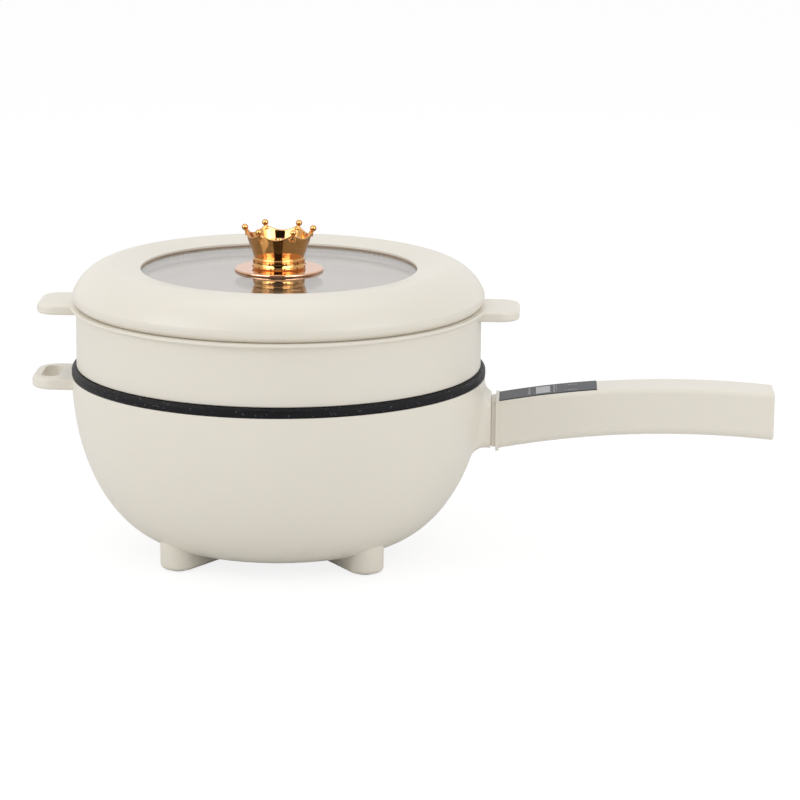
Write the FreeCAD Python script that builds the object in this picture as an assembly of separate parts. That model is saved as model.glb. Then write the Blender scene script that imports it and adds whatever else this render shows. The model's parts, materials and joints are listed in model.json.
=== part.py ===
import FreeCAD, Part
import math
import os

# Electric hot pot with a steamer basket and a lift-off lid.
# Lengths in mm. Drawn about the pot's axis with the worktop at z = 0, +X towards the handle.
# At the end everything shifts along X so that the origin is the middle of the footprint.

# Clearances
SEAT_GAP = 0.3
SCREW_GAP = 0.15
SLIP_GAP = 0.2

# Rim band, the widest circle of the pot: the others follow it
BAND_R = 140.0

# Bowl-shaped outer shell
SHELL_WALL = 2.5
SHELL_RIM_INSET = 0.2
SHELL_RIM_Z = 122.0
SHELL_STRAIGHT = 1.4
BASE_FLAT_R = 69.4
BASE_Z = 8.7
HATCH_R = 38.5

# Feet, each with a rubber pad
FOOT_COUNT = 4
FOOT_R = 88.2
FOOT_END_R = 12.3
FOOT_TAPER_DEG = 12.5
FOOT_INNER_R = 50.0
FOOT_Z = 1.0
FOOT_ROUND = 3.4
PAD_R = 6.5
PAD_THICK = 2.5

# Helper ear with its slot
EAR_LENGTH = 26.7
EAR_WIDTH = 52.0
EAR_THICK = 8.0
EAR_TOP_Z = 120.5
EAR_CORNER_R = 15.0
EAR_EDGE_R = 2.4
EAR_SLOT_DEPTH = 12.4
EAR_SLOT_WIDTH = 35.0
EAR_SLOT_RIM = 6.0

# Inner pot with its rolled rim, the dark band round the outside
POT_WALL = 3.0
POT_FLAT_MARGIN = 6.0
POT_BOTTOM_Z = 37.0
RIM_WIDTH = 6.5
BAND_HEIGHT = 6.3
BAND_TOP_ROUND = 2.5
BAND_FOOT_ROUND = 1.2
MOUTH_ROUND = 1.0

# Heating plate and element under the pot
PLATE_R = 64.0
PLATE_THICK = 6.5
ELEMENT_RING_R = 50.0
ELEMENT_TUBE_R = 3.5
ELEMENT_SUNK = 4.5
ELEMENT_GAP_DEG = 24.0
ELEMENT_PIN_R = 2.2
ELEMENT_PIN_DROP = 16.5

# Heat shield under the plate
SHIELD_R = 78.0
SHIELD_THICK = 0.8
SHIELD_RIM = 6.0
SHIELD_DROP = 6.2
SHIELD_EYE_R = 14.0

# Screws that hold the pot, its plate and the shield down on the shell
POT_SCREW_COUNT = 3
POT_SCREW_R = 57.0
POT_SCREW_START_DEG = 60.0
POT_SCREW_SHANK_R = 2.0
POT_SCREW_HEAD_R = 3.8
POT_SCREW_HEAD = 2.4
POT_SCREW_INTO_PLATE = 5.0
POT_BOSS_R = 6.0

# Thermostat and thermal fuse
STAT_R = 8.0
STAT_HEIGHT = 9.0
STAT_EAR_SPAN = 30.0
STAT_EAR_WIDTH = 9.0
STAT_SCREW_SPAN = 23.0
STAT_BLADE_WIDTH = 4.8
STAT_BLADE_LENGTH = 3.2
FUSE_R = 2.2
FUSE_LENGTH = 14.0
FUSE_X = 30.0
CLIP_WIDTH = 6.0
CLIP_THICK = 0.8
CLIP_TAB = 8.0

# Base cover and the power board it carries
COVER_R = 46.5
COVER_THICK = 1.8
COVER_SCREW_COUNT = 4
COVER_SCREW_R = 42.6
COVER_SCREW_START_DEG = 45.0
COVER_BOSS_R = 3.6
COVER_BOSS_HEIGHT = 7.0
SMALL_SHANK_R = 1.4
SMALL_HEAD_R = 2.7
SMALL_HEAD = 1.5
BOARD_LENGTH = 56.0
BOARD_WIDTH = 34.0
BOARD_THICK = 1.6
BOARD_POST_R = 2.6
BOARD_POST_HEIGHT = 3.3
BOARD_POST_X = 24.0
BOARD_POST_Y = 13.0
RELAY_SIZE = (19.0, 15.0, 7.6)
RELAY_X = -14.0
BLOCK_SIZE = (10.0, 24.0, 6.4)
BLOCK_X = 10.0

# Appliance inlet at the back
INLET_FACE_INSET = 3.8
INLET_Z = 45.0
INLET_BOSS_WIDTH = 56.0
INLET_BOSS_HEIGHT = 30.0
INLET_BOSS_ROUND = 5.0
INLET_FLANGE_WIDTH = 50.0
INLET_FLANGE_HEIGHT = 23.0
INLET_FLANGE_THICK = 2.6
INLET_BODY_WIDTH = 27.0
INLET_BODY_HEIGHT = 19.6
INLET_BODY_DEPTH = 22.0
SOCKET_WIDTH = 24.0
SOCKET_HEIGHT = 16.4
SOCKET_DEPTH = 16.0
SOCKET_CORNER = 4.5
INLET_PIN_SPAN = 14.0
INLET_PIN_WIDTH = 2.0
INLET_PIN_HEIGHT = 4.0
INLET_PIN_TIP = 3.0
INLET_PIN_TAIL = 4.0
INLET_EARTH_RISE = 3.4
INLET_SCREW_SPAN = 40.0

# Wires
LEAD_R = 1.4
LOOM_R = 1.6
LEAD_SLEEVE_R = 3.0
LEAD_STUB = 4.0
LEAD_BEND_R = 2.5
LOOM_BEND_R = 6.0
LOOM_LOW_RISE = 16.0
LOOM_LOW_OUT = 2.2
LOOM_HIGH_DROP = 12.7
LOOM_TOP_INSET = 3.3

# Handle: a constant section along a shallow arc
HANDLE_LENGTH = 185.0
HANDLE_STANDOFF = 9.9
HANDLE_APEX_ALONG = 122.0
HANDLE_APEX_Z = 102.7
HANDLE_ARC_R = 650.0
HANDLE_HEIGHT = 33.0
HANDLE_WIDTH = 31.0
HANDLE_TOP_ROUND = 3.5
HANDLE_FOOT_ROUND = 6.0
HANDLE_WALL = 2.5
HANDLE_END_ROUND = 1.5
GRIP_COVER_WIDTH = 19.0

# Boss on the shell and the collar between it and the handle
BOSS_LENGTH = 4.5
BOSS_ROUND = 5.0
BOSS_BLEND = 10.0
COLLAR_LIP = 2.2
COLLAR_LIP_PROUD = 1.3
NECK_INSET = 0.9
JOINT_LINE = 0.5
JOINT_LINE_DEPTH = 0.8
LOOM_HOLE_R = 4.0
LOOM_SLOT_DROP = 15.0
HANDLE_SCREW_SPAN = 18.0
HANDLE_SCREW_DROP = 3.0
HANDLE_SCREW_R = 2.0
HANDLE_SCREW_HEAD_R = 3.8
HANDLE_SCREW_HEAD = 2.6
HANDLE_SCREW_SEAT = 6.8
HANDLE_SCREW_REACH = 16.0
HANDLE_POST_R = 4.0
HANDLE_POST_LENGTH = 20.0
COVER_POST_STOPS = (86.0, 168.0)
COVER_POST_R = 3.2
COVER_SCREW_REACH = 9.0

# Control panel in the handle's top
PANEL_LENGTH = 67.0
PANEL_WIDTH = 27.0
PANEL_THICK = 1.4
PANEL_PROUD = 0.2
PANEL_CORNER_GAP = 0.15
WINDOW_START = -22.0
WINDOW_END = 30.0
WINDOW_WIDTH = 21.0
CONTROL_START = -28.0
CONTROL_END = 36.0
CONTROL_WIDTH = 24.0
CONTROL_DROP = 6.2
CONTROL_POST_INSET = 2.8
CONTROL_POST_R = 2.2
CONTROL_SCREW_REACH = 2.8
LOOM_SOCKET_LENGTH = 6.0
LOOM_SOCKET_WIDTH = 10.0
DISPLAY_MID = -4.3
DISPLAY_LENGTH = 10.0
DISPLAY_WIDTH = 20.0
SPRING_STOPS = (8.0, 16.0, 24.0)
SPRING_SIDE = 5.5
SPRING_R = 2.2
SPRING_WALL = 0.5
BUZZER_R = 5.0
BUZZER_HEIGHT = 4.0
BUZZER_STOP = -12.0

# Steamer basket: the upper body of the pot
BASKET_WALL = 2.5
BASKET_INSET = 3.3
BASKET_FLOOR_Z = 106.5
BASKET_PLUG_GAP = 2.0
BASKET_PLUG_TAPER = 4.5
LEDGE_OVERHANG = 3.7
LEDGE_TOP_Z = 170.4
LEDGE_THICK = 2.3
LEDGE_ROUND = 0.8
GRIP_LENGTH = 25.8
GRIP_WIDTH = 50.0
GRIP_THICK = 6.6
GRIP_CORNER_R = 13.0
GRIP_EDGE_R = 2.0
STEAM_HOLE_R = 3.0
STEAM_RINGS = 5
STEAM_RING_STEP = 20.0
STEAM_HOLES_PER_RING = 6

# Lid ring
LID_WALL = 2.5
LID_FOOT_INSET = 1.3
LID_WAIST_SWELL = 3.2
LID_WAIST_RISE = 7.8
LID_SHOULDER_INSET = 10.3
LID_SHOULDER_RISE = 21.2
LID_CREST_INSET = 25.6
LID_CREST_RISE = 27.2
LID_SLOPE_SWELL = 0.15
LIP_RISE = 23.8
LIP_THICK = 1.2

# Lid glass, gasket and the ring that clamps them
GLASS_INSET = 38.9
GLASS_THICK = 3.8
GLASS_COVERED = 3.2
GASKET_WALL = 0.7
GASKET_LIP = 3.5
CLAMP_THICK = 2.0
CLAMP_PLATE_RISE = 5.7
CLAMP_WEB_OUT = 8.5
CLAMP_SKIRT_GAP = 0.9
CLAMP_SKIRT_DROP = 4.6
CLAMP_SCREW_COUNT = 6
CLAMP_SCREW_INSET = 17.4
CLAMP_BOSS_R = 4.0
CLAMP_SCREW_REACH = 8.0

# Knob on the glass
DISC_R = 30.0
DISC_THICK = 1.8
CROWN_WALL = 1.8
CROWN_WAIST_R = 17.2
CROWN_BASE_R = 17.6
CROWN_WAIST_H = 7.6
CROWN_FLARE_R = 19.1
CROWN_FLARE_H = 14.4
CROWN_TIP_R = 22.4
CROWN_TIP_H = 24.6
CROWN_FLOOR = 3.0
CROWN_RIDGE_HS = (2.4, 6.9)
CROWN_RIDGE_R = 0.6
PRONG_COUNT = 6
PRONG_TURN_DEG = -1.5
PRONG_TIP_R = 1.2
PRONG_ROOT_DROP = 2.5
BALL_R = 2.2
BALL_MID_R = 23.05
BALL_H = 27.1
SCALLOP_DEPTH = 2.9
SCALLOP_R = 10.4
CROWN_BOSS_R = 6.5
CROWN_BOSS_H = 19.2
KNOB_SCREW_R = 2.4
KNOB_SCREW_HEAD_R = 5.0
KNOB_SCREW_HEAD = 2.8
KNOB_SCREW_INTO = 12.0
KNOB_HOLE_GAP = 0.8
WASHER_R = 12.0
WASHER_THICK = 1.5

# Worked out from the sizes above
SHELL_RIM_R = BAND_R - SHELL_RIM_INSET
EAR_REACH = SHELL_RIM_R + EAR_LENGTH
POT_FLAT_R = PLATE_R + POT_FLAT_MARGIN
POT_MOUTH_R = BAND_R - RIM_WIDTH
INLET_FACE_Y = SHELL_RIM_R - INLET_FACE_INSET
BOSS_END_X = SHELL_RIM_R + BOSS_LENGTH
HANDLE_ROOT_X = SHELL_RIM_R + HANDLE_STANDOFF
HANDLE_END_X = HANDLE_ROOT_X + HANDLE_LENGTH
HANDLE_APEX_X = HANDLE_ROOT_X + HANDLE_APEX_ALONG
HANDLE_SCREW_SEAT_X = BOSS_END_X - HANDLE_SCREW_SEAT
COVER_POST_XS = [HANDLE_ROOT_X + stop for stop in COVER_POST_STOPS]
PANEL_END_X = HANDLE_ROOT_X + PANEL_LENGTH
PANEL_MID_X = HANDLE_ROOT_X + PANEL_LENGTH / 2
BASKET_R = BAND_R - BASKET_INSET
BASKET_PLUG_TOP_R = POT_MOUTH_R - BASKET_PLUG_GAP
BASKET_PLUG_FOOT_R = BASKET_PLUG_TOP_R - BASKET_PLUG_TAPER
LEDGE_R = BASKET_R + LEDGE_OVERHANG
GRIP_REACH = BASKET_R + GRIP_LENGTH
LID_FOOT_R = BASKET_R - LID_FOOT_INSET
LID_WAIST_R = LID_FOOT_R + LID_WAIST_SWELL
LID_SHOULDER_R = LID_WAIST_R - LID_SHOULDER_INSET
LID_CREST_R = LID_WAIST_R - LID_CREST_INSET
GLASS_R = LID_FOOT_R - GLASS_INSET
LIP_R = GLASS_R - GLASS_COVERED
CLAMP_WEB_R = GLASS_R + CLAMP_WEB_OUT
CLAMP_SCREW_R = LID_FOOT_R - CLAMP_SCREW_INSET
SHELL_TOP_Z = SHELL_RIM_Z - SHELL_STRAIGHT
FLOOR_INSIDE_Z = BASE_Z + SHELL_WALL
BAND_TOP_Z = SHELL_RIM_Z + BAND_HEIGHT
POT_OUTER_R = POT_MOUTH_R + POT_WALL
PLATE_Z = POT_BOTTOM_Z - PLATE_THICK
SHIELD_TOP_Z = PLATE_Z - SHIELD_DROP
SHIELD_Z = SHIELD_TOP_Z - SHIELD_THICK
ELEMENT_Z = POT_BOTTOM_Z - ELEMENT_SUNK
POT_SEAT_Z = BASE_Z + POT_SCREW_HEAD + 0.6
COVER_Z = BASE_Z - COVER_THICK
BOARD_Z = BASE_Z + BOARD_POST_HEIGHT
BOARD_TOP_Z = BOARD_Z + BOARD_THICK
HANDLE_ARC_Z = HANDLE_APEX_Z - HANDLE_ARC_R
HALF_H = HANDLE_HEIGHT / 2
ROOT_Z = HANDLE_ARC_Z + math.sqrt(HANDLE_ARC_R ** 2 - (HANDLE_APEX_X - HANDLE_ROOT_X) ** 2)
HANDLE_SCREW_Z = ROOT_Z - HANDLE_SCREW_DROP
PANEL_UNDER = HALF_H + PANEL_PROUD - PANEL_THICK
CONTROL_TOP = PANEL_UNDER - CONTROL_DROP
CONTROL_UNDER = CONTROL_TOP - BOARD_THICK
LID_Z = LEDGE_TOP_Z + SEAT_GAP
LIP_TOP_Z = LID_Z + LIP_RISE
LIP_Z = LIP_TOP_Z - LIP_THICK
GLASS_TOP_Z = LIP_Z - GASKET_WALL
GLASS_Z = GLASS_TOP_Z - GLASS_THICK
CLAMP_TOP_Z = GLASS_Z - GASKET_WALL
CLAMP_PLATE_Z = LID_Z + CLAMP_PLATE_RISE
BASKET_MOUTH_R = BASKET_R - BASKET_WALL
DISC_TOP_Z = GLASS_TOP_Z + DISC_THICK
SHIFT_X = (EAR_REACH - HANDLE_END_X) / 2

UP = FreeCAD.Vector(0, 0, 1)
CENTRE = FreeCAD.Vector(0, 0, 0)


def vec(x, y, z):
    return FreeCAD.Vector(x, y, z)


def outline(start, *stops):
    """Closed face in the XZ plane. A stop is the next point, or (way point, end) of an arc."""
    edges = []
    here = start
    for stop in stops + (start,):
        if isinstance(stop[0], tuple):
            via, end = stop
            arc = Part.Arc(vec(here[0], 0, here[1]), vec(via[0], 0, via[1]), vec(end[0], 0, end[1]))
            edges.append(arc.toShape())
        else:
            end = stop
            if math.dist(here, end) > 1e-6:
                edges.append(Part.makeLine(vec(here[0], 0, here[1]), vec(end[0], 0, end[1])))
        here = end
    return Part.Face(Part.Wire(edges))


def turned(face):
    return face.revolve(CENTRE, UP, 360)


def corner(middle, radius, from_deg, to_deg):
    """Way point and end of a rounded corner about a middle point."""
    mid_deg = math.radians((from_deg + to_deg) / 2)
    end_deg = math.radians(to_deg)
    via = (middle[0] + radius * math.cos(mid_deg), middle[1] + radius * math.sin(mid_deg))
    end = (middle[0] + radius * math.cos(end_deg), middle[1] + radius * math.sin(end_deg))
    return via, end


def bowl_edge(flat_r, top_r, bottom_z, top_z):
    """Quarter ellipse from the flat bottom up to the rim."""
    middle = vec(flat_r, 0, top_z)
    low = vec(flat_r, 0, bottom_z)
    side = vec(top_r, 0, top_z)
    if top_z - bottom_z > top_r - flat_r:
        return Part.Arc(Part.Ellipse(low, side, middle), 0, math.pi / 2).toShape()
    return Part.Arc(Part.Ellipse(side, low, middle), 0, math.pi / 2).toShape()


def bowl_solid(flat_r, top_r, bottom_z, top_z, lid_z):
    """Solid bowl with a straight collar from top_z up to lid_z."""
    curve = bowl_edge(flat_r, top_r, bottom_z, top_z)
    floor = Part.makeLine(vec(0, 0, bottom_z), vec(flat_r, 0, bottom_z))
    side = Part.makeLine(vec(top_r, 0, top_z), vec(top_r, 0, lid_z))
    top = Part.makeLine(vec(top_r, 0, lid_z), vec(0, 0, lid_z))
    middle = Part.makeLine(vec(0, 0, lid_z), vec(0, 0, bottom_z))
    return turned(Part.Face(Part.Wire([floor, curve, side, top, middle])))


def disc(radius, low_z, high_z, x=0, y=0):
    return Part.makeCylinder(radius, high_z - low_z, vec(x, y, low_z))


def rod(radius, start, end):
    return Part.makeCylinder(radius, (end - start).Length, start, end - start)


def block(size, low):
    return Part.makeBox(size[0], size[1], size[2], low)


def fuse(shapes):
    shapes = list(shapes)
    return shapes[0].multiFuse(shapes[1:]).removeSplitter() if len(shapes) > 1 else shapes[0]


def cut(shape, tools):
    return shape.cut(Part.makeCompound(list(tools)))


def around(count, radius, start_deg=0.0):
    """Points of a ring of equal holes or screws."""
    for index in range(count):
        angle = math.radians(start_deg + 360 * index / count)
        yield radius * math.cos(angle), radius * math.sin(angle)


def tab_plan(inner_x, reach, width, radius):
    """Plan of a tongue with two rounded corners that reaches along +X."""
    half = width / 2
    a = vec(inner_x, -half, 0)
    b = vec(reach - radius, -half, 0)
    c = vec(reach, -half + radius, 0)
    d = vec(reach, half - radius, 0)
    e = vec(reach - radius, half, 0)
    f = vec(inner_x, half, 0)
    cosine = radius * math.cos(math.pi / 4)
    low_via = vec(reach - radius + cosine, -half + radius - cosine, 0)
    high_via = vec(reach - radius + cosine, half - radius + cosine, 0)
    edges = [
        Part.makeLine(a, b),
        Part.Arc(b, low_via, c).toShape(),
        Part.makeLine(c, d),
        Part.Arc(d, high_via, e).toShape(),
        Part.makeLine(e, f),
        Part.makeLine(f, a),
    ]
    return Part.Face(Part.Wire(edges))


def tongue(inner_x, reach, width, radius, low_z, thick, edge_r):
    """Flat ear with its outer edges rounded."""
    slab = tab_plan(inner_x, reach, width, radius).extrude(vec(0, 0, thick))
    slab.translate(vec(0, 0, low_z))
    rims = [e for e in slab.Edges if abs(e.BoundBox.ZLength) < 1e-6 and e.BoundBox.XMax > inner_x + 1]
    return slab.makeFillet(edge_r, rims)


def turn_z(shape, degrees):
    shape.rotate(CENTRE, UP, degrees)
    return shape


def pipe(points, radius, bend_r):
    """Round wire along straight runs joined by tangent arcs."""
    spots = [vec(*p) for p in points]
    edges = []
    here = spots[0]
    for before, at, after in zip(spots, spots[1:], spots[2:]):
        back = (before - at).normalize()
        ahead = (after - at).normalize()
        half = back.getAngle(ahead) / 2
        step = bend_r / math.tan(half)
        middle = at + (back + ahead).normalize() * (bend_r / math.sin(half))
        enter = at + back * step
        leave = at + ahead * step
        via = middle + (at - middle).normalize() * bend_r
        edges.append(Part.makeLine(here, enter))
        edges.append(Part.Arc(enter, via, leave).toShape())
        here = leave
    edges.append(Part.makeLine(here, spots[-1]))
    path = Part.Wire(edges)
    ring = Part.Wire([Part.makeCircle(radius, spots[0], spots[1] - spots[0])])
    return path.makePipeShell([ring], True, True)


def screw(x, y, head_z, tip_z, shank_r, head_r, head):
    """Screw whose head lies below head_z and whose shank rises to tip_z."""
    return disc(head_r, head_z - head, head_z, x, y).fuse(disc(shank_r, head_z, tip_z, x, y)).removeSplitter()


# Handle geometry


def rounded_section(width, low, high, top_round, foot_round):
    """Handle section in the plane of the arc's apex, low and high measured from the centreline."""
    half = width / 2
    q = math.sqrt(0.5)

    def at(y, n):
        return vec(HANDLE_APEX_X, y, HANDLE_APEX_Z + n)

    edges = [
        Part.makeLine(at(-half, low + foot_round), at(-half, high - top_round)),
        Part.Arc(
            at(-half, high - top_round),
            at(-half + top_round * (1 - q), high - top_round * (1 - q)),
            at(-half + top_round, high),
        ).toShape(),
        Part.makeLine(at(-half + top_round, high), at(half - top_round, high)),
        Part.Arc(
            at(half - top_round, high),
            at(half - top_round * (1 - q), high - top_round * (1 - q)),
            at(half, high - top_round),
        ).toShape(),
        Part.makeLine(at(half, high - top_round), at(half, low + foot_round)),
        Part.Arc(
            at(half, low + foot_round),
            at(half - foot_round * (1 - q), low + foot_round * (1 - q)),
            at(half - foot_round, low),
        ).toShape(),
        Part.makeLine(at(half - foot_round, low), at(-half + foot_round, low)),
        Part.Arc(
            at(-half + foot_round, low),
            at(-half + foot_round * (1 - q), low + foot_round * (1 - q)),
            at(-half, low + foot_round),
        ).toShape(),
    ]
    return Part.Face(Part.Wire(edges))


def plain_section(width, low, high):
    corners = [(-width / 2, low), (-width / 2, high), (width / 2, high), (width / 2, low)]
    points = [vec(HANDLE_APEX_X, y, HANDLE_APEX_Z + n) for y, n in corners]
    return Part.Face(Part.makePolygon(points + points[:1]))


def arc_angle(x):
    return math.degrees(math.asin((x - HANDLE_APEX_X) / HANDLE_ARC_R))


def along_arc(face, from_x, to_x):
    """Sweeps a section of the handle along its arc."""
    pivot = vec(HANDLE_APEX_X, 0, HANDLE_ARC_Z)
    axis = vec(0, 1, 0)
    face.rotate(pivot, axis, arc_angle(from_x))
    return face.revolve(pivot, axis, arc_angle(to_x) - arc_angle(from_x))


def between(shape, from_x, to_x):
    """The part of a shape between two upright planes."""
    room = 2 * HANDLE_HEIGHT
    slab = block((to_x - from_x, room, 6 * room), vec(from_x, -room / 2, HANDLE_APEX_Z - 3 * room))
    return shape.common(slab)


def on_arc(shape, x):
    """Carries a shape drawn about the origin (X along, Z up) to the handle's centreline at x."""
    angle = arc_angle(x)
    height = HANDLE_ARC_Z + HANDLE_ARC_R * math.cos(math.radians(angle))
    shape.rotate(CENTRE, vec(0, 1, 0), angle)
    shape.translate(vec(x, 0, height))
    return shape


def upright_section(width, height, radius, from_x, to_x, mid_z):
    """Straight rounded bar along X, used for the boss and the collar."""
    bar = block((to_x - from_x, width, height), vec(from_x, -width / 2, mid_z - height / 2))
    long_edges = [e for e in bar.Edges if e.BoundBox.XLength > (to_x - from_x) / 2]
    return bar.makeFillet(radius, long_edges)


# Shell


def foot():
    """One moulded foot on the +X side, from its rounded sole up into the bowl."""
    taper = math.radians(FOOT_TAPER_DEG)
    touch_x = FOOT_R - FOOT_END_R * math.sin(taper)
    touch_y = FOOT_END_R * math.cos(taper)
    inner_y = touch_y - (touch_x - FOOT_INNER_R) * math.tan(taper)
    a = vec(FOOT_INNER_R, -inner_y, FOOT_Z)
    b = vec(touch_x, -touch_y, FOOT_Z)
    tip = vec(FOOT_R + FOOT_END_R, 0, FOOT_Z)
    c = vec(touch_x, touch_y, FOOT_Z)
    d = vec(FOOT_INNER_R, inner_y, FOOT_Z)
    plan = Part.Wire([
        Part.makeLine(a, b),
        Part.Arc(b, tip, c).toShape(),
        Part.makeLine(c, d),
        Part.makeLine(d, a),
    ])
    post = Part.Face(plan).extrude(vec(0, 0, BASE_Z + 4 * SHELL_WALL + FOOT_ROUND))
    sole = [e for e in post.Edges if e.BoundBox.ZMax < FOOT_Z + 1e-6]
    return post.makeFillet(FOOT_ROUND, sole)


def foot_angles():
    return [45 + 360 * index / FOOT_COUNT for index in range(FOOT_COUNT)]


def helper_ear():
    """Ear on the side away from the handle, with its slot."""
    ear = tongue(
        SHELL_RIM_R - 4 * SHELL_WALL, EAR_REACH, EAR_WIDTH, EAR_CORNER_R,
        EAR_TOP_Z - EAR_THICK, EAR_THICK, EAR_EDGE_R,
    )
    slot_r = EAR_SLOT_DEPTH / 2
    slot_x = EAR_REACH - EAR_SLOT_RIM - slot_r
    side = EAR_SLOT_WIDTH / 2 - slot_r
    low = EAR_TOP_Z - EAR_THICK - 1
    high = EAR_TOP_Z + 1
    cutters = [
        disc(slot_r, low, high, slot_x, -side),
        disc(slot_r, low, high, slot_x, side),
        block((2 * slot_r, 2 * side, high - low), vec(slot_x - slot_r, -side, low)),
    ]
    return turn_z(ear.cut(fuse(cutters)), 180)


def blended_boss(bowl):
    """Bowl with the handle's boss. The blend where they meet runs out past the boss's end."""
    long_end_x = BOSS_END_X + 2 * BOSS_BLEND
    boss = upright_section(
        HANDLE_WIDTH, HANDLE_HEIGHT, BOSS_ROUND, POT_FLAT_R, long_end_x, ROOT_Z
    )
    joined = bowl.fuse(boss).removeSplitter()
    seam = []
    for edge in joined.Edges:
        box = edge.BoundBox
        lengthwise = box.YLength < 1e-3 and box.ZLength < 1e-3
        near = abs(box.YMax) < HANDLE_WIDTH and abs(box.ZMax - ROOT_Z) < HANDLE_HEIGHT
        if near and BASE_FLAT_R < box.XMin < BOSS_END_X and not lengthwise:
            seam.append(edge)
    blended = joined.makeFillet(BOSS_BLEND, seam)
    room = 2 * HANDLE_HEIGHT
    return blended.cut(block((long_end_x, room, room), vec(BOSS_END_X, -room / 2, ROOT_Z - room / 2)))


def inlet_boss():
    """Box on the back of the bowl that carries the inlet, rounded at its upright corners."""
    depth = INLET_FACE_Y - POT_FLAT_R
    low = vec(-INLET_BOSS_WIDTH / 2, POT_FLAT_R, INLET_Z - INLET_BOSS_HEIGHT / 2)
    box = block((INLET_BOSS_WIDTH, depth, INLET_BOSS_HEIGHT), low)
    long_edges = [e for e in box.Edges if e.BoundBox.YLength > depth / 2]
    return box.makeFillet(INLET_BOSS_ROUND, long_edges)


def inlet_box(width, height, from_y, to_y, grow=0.0):
    """Box about the inlet's axis."""
    size = (width + 2 * grow, to_y - from_y, height + 2 * grow)
    return block(size, vec(-size[0] / 2, from_y, INLET_Z - size[2] / 2))


def pot_screw_spots():
    return list(around(POT_SCREW_COUNT, POT_SCREW_R, POT_SCREW_START_DEG))


def cover_screw_spots():
    return list(around(COVER_SCREW_COUNT, COVER_SCREW_R, COVER_SCREW_START_DEG))


def handle_screw_ys():
    return (-HANDLE_SCREW_SPAN / 2, HANDLE_SCREW_SPAN / 2)


def outer_shell():
    bowl = bowl_solid(BASE_FLAT_R, SHELL_RIM_R, BASE_Z, SHELL_TOP_Z, SHELL_RIM_Z)
    body = blended_boss(bowl)
    feet = [turn_z(foot(), angle) for angle in foot_angles()]
    body = fuse([body, helper_ear(), inlet_boss()] + feet)
    cavity = bowl_solid(
        BASE_FLAT_R, SHELL_RIM_R - SHELL_WALL, FLOOR_INSIDE_Z, SHELL_TOP_Z, SHELL_RIM_Z + 1
    )
    body = body.cut(cavity)
    posts = [disc(POT_BOSS_R, BASE_Z + SHELL_WALL / 2, SHIELD_Z, x, y) for x, y in pot_screw_spots()]
    posts += [
        disc(COVER_BOSS_R, BASE_Z + SHELL_WALL / 2, BASE_Z + COVER_BOSS_HEIGHT, x, y)
        for x, y in cover_screw_spots()
    ]
    body = fuse([body] + posts)
    holes = [disc(HATCH_R, BASE_Z - 1, FLOOR_INSIDE_Z + COVER_BOSS_HEIGHT)]
    for x, y in pot_screw_spots():
        holes.append(disc(POT_SCREW_SHANK_R + SCREW_GAP, BASE_Z - 1, SHIELD_Z + 1, x, y))
        holes.append(disc(POT_SCREW_HEAD_R + SCREW_GAP, BASE_Z - 1, POT_SEAT_Z, x, y))
    for x, y in cover_screw_spots():
        holes.append(disc(SMALL_SHANK_R + SCREW_GAP, BASE_Z - 1, BASE_Z + COVER_BOSS_HEIGHT + 1, x, y))
    for angle in foot_angles():
        recess = disc(PAD_R + SLIP_GAP, FOOT_Z - 1, PAD_THICK, FOOT_R, 0)
        holes.append(turn_z(recess, angle))
    for y in handle_screw_ys():
        start = vec(POT_FLAT_R, y, HANDLE_SCREW_Z)
        seat = vec(HANDLE_SCREW_SEAT_X, y, HANDLE_SCREW_Z)
        holes.append(rod(HANDLE_SCREW_HEAD_R + SCREW_GAP, start, seat))
        holes.append(rod(HANDLE_SCREW_R + SCREW_GAP, start, vec(BOSS_END_X + 1, y, HANDLE_SCREW_Z)))
    slot_x = POT_MOUTH_R - LOOM_HOLE_R
    holes.append(block((BOSS_END_X + 1 - slot_x, 2 * LOOM_HOLE_R, LOOM_SLOT_DROP + LOOM_HOLE_R),
                       vec(slot_x, -LOOM_HOLE_R, ROOT_Z - LOOM_SLOT_DROP)))
    holes.append(inlet_box(INLET_FLANGE_WIDTH, INLET_FLANGE_HEIGHT, INLET_FACE_Y - INLET_FLANGE_THICK,
                           INLET_FACE_Y + 1, SLIP_GAP))
    holes.append(inlet_box(INLET_BODY_WIDTH, INLET_BODY_HEIGHT, POT_FLAT_R + 2 * PAD_R,
                           INLET_FACE_Y, SLIP_GAP))
    for x in (-INLET_SCREW_SPAN / 2, INLET_SCREW_SPAN / 2):
        holes.append(rod(SMALL_SHANK_R + SCREW_GAP, vec(x, INLET_FACE_Y - INLET_BODY_DEPTH / 2, INLET_Z),
                         vec(x, INLET_FACE_Y, INLET_Z)))
    return cut(body, holes)


def foot_pads():
    pads = []
    for angle in foot_angles():
        pad = disc(PAD_R, 0, PAD_THICK, FOOT_R, 0)
        pads.append(turn_z(pad, angle))
    return Part.makeCompound(pads)


def base_cover():
    plate = disc(COVER_R, COVER_Z, BASE_Z)
    posts = []
    holes = []
    for x in (-BOARD_POST_X, BOARD_POST_X):
        for y in (-BOARD_POST_Y, BOARD_POST_Y):
            posts.append(disc(BOARD_POST_R, COVER_Z + COVER_THICK / 2, BOARD_Z, x, y))
            holes.append(disc(SMALL_SHANK_R / 2 + SCREW_GAP, COVER_Z + COVER_THICK, BOARD_Z + 1, x, y))
    for x, y in cover_screw_spots():
        holes.append(disc(SMALL_SHANK_R + SCREW_GAP, COVER_Z - 1, BASE_Z + 1, x, y))
    return cut(fuse([plate] + posts), holes)


def base_cover_screws():
    return Part.makeCompound([
        screw(x, y, COVER_Z, BASE_Z + COVER_BOSS_HEIGHT - 1, SMALL_SHANK_R, SMALL_HEAD_R, SMALL_HEAD)
        for x, y in cover_screw_spots()
    ])


# Pot and heater


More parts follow.
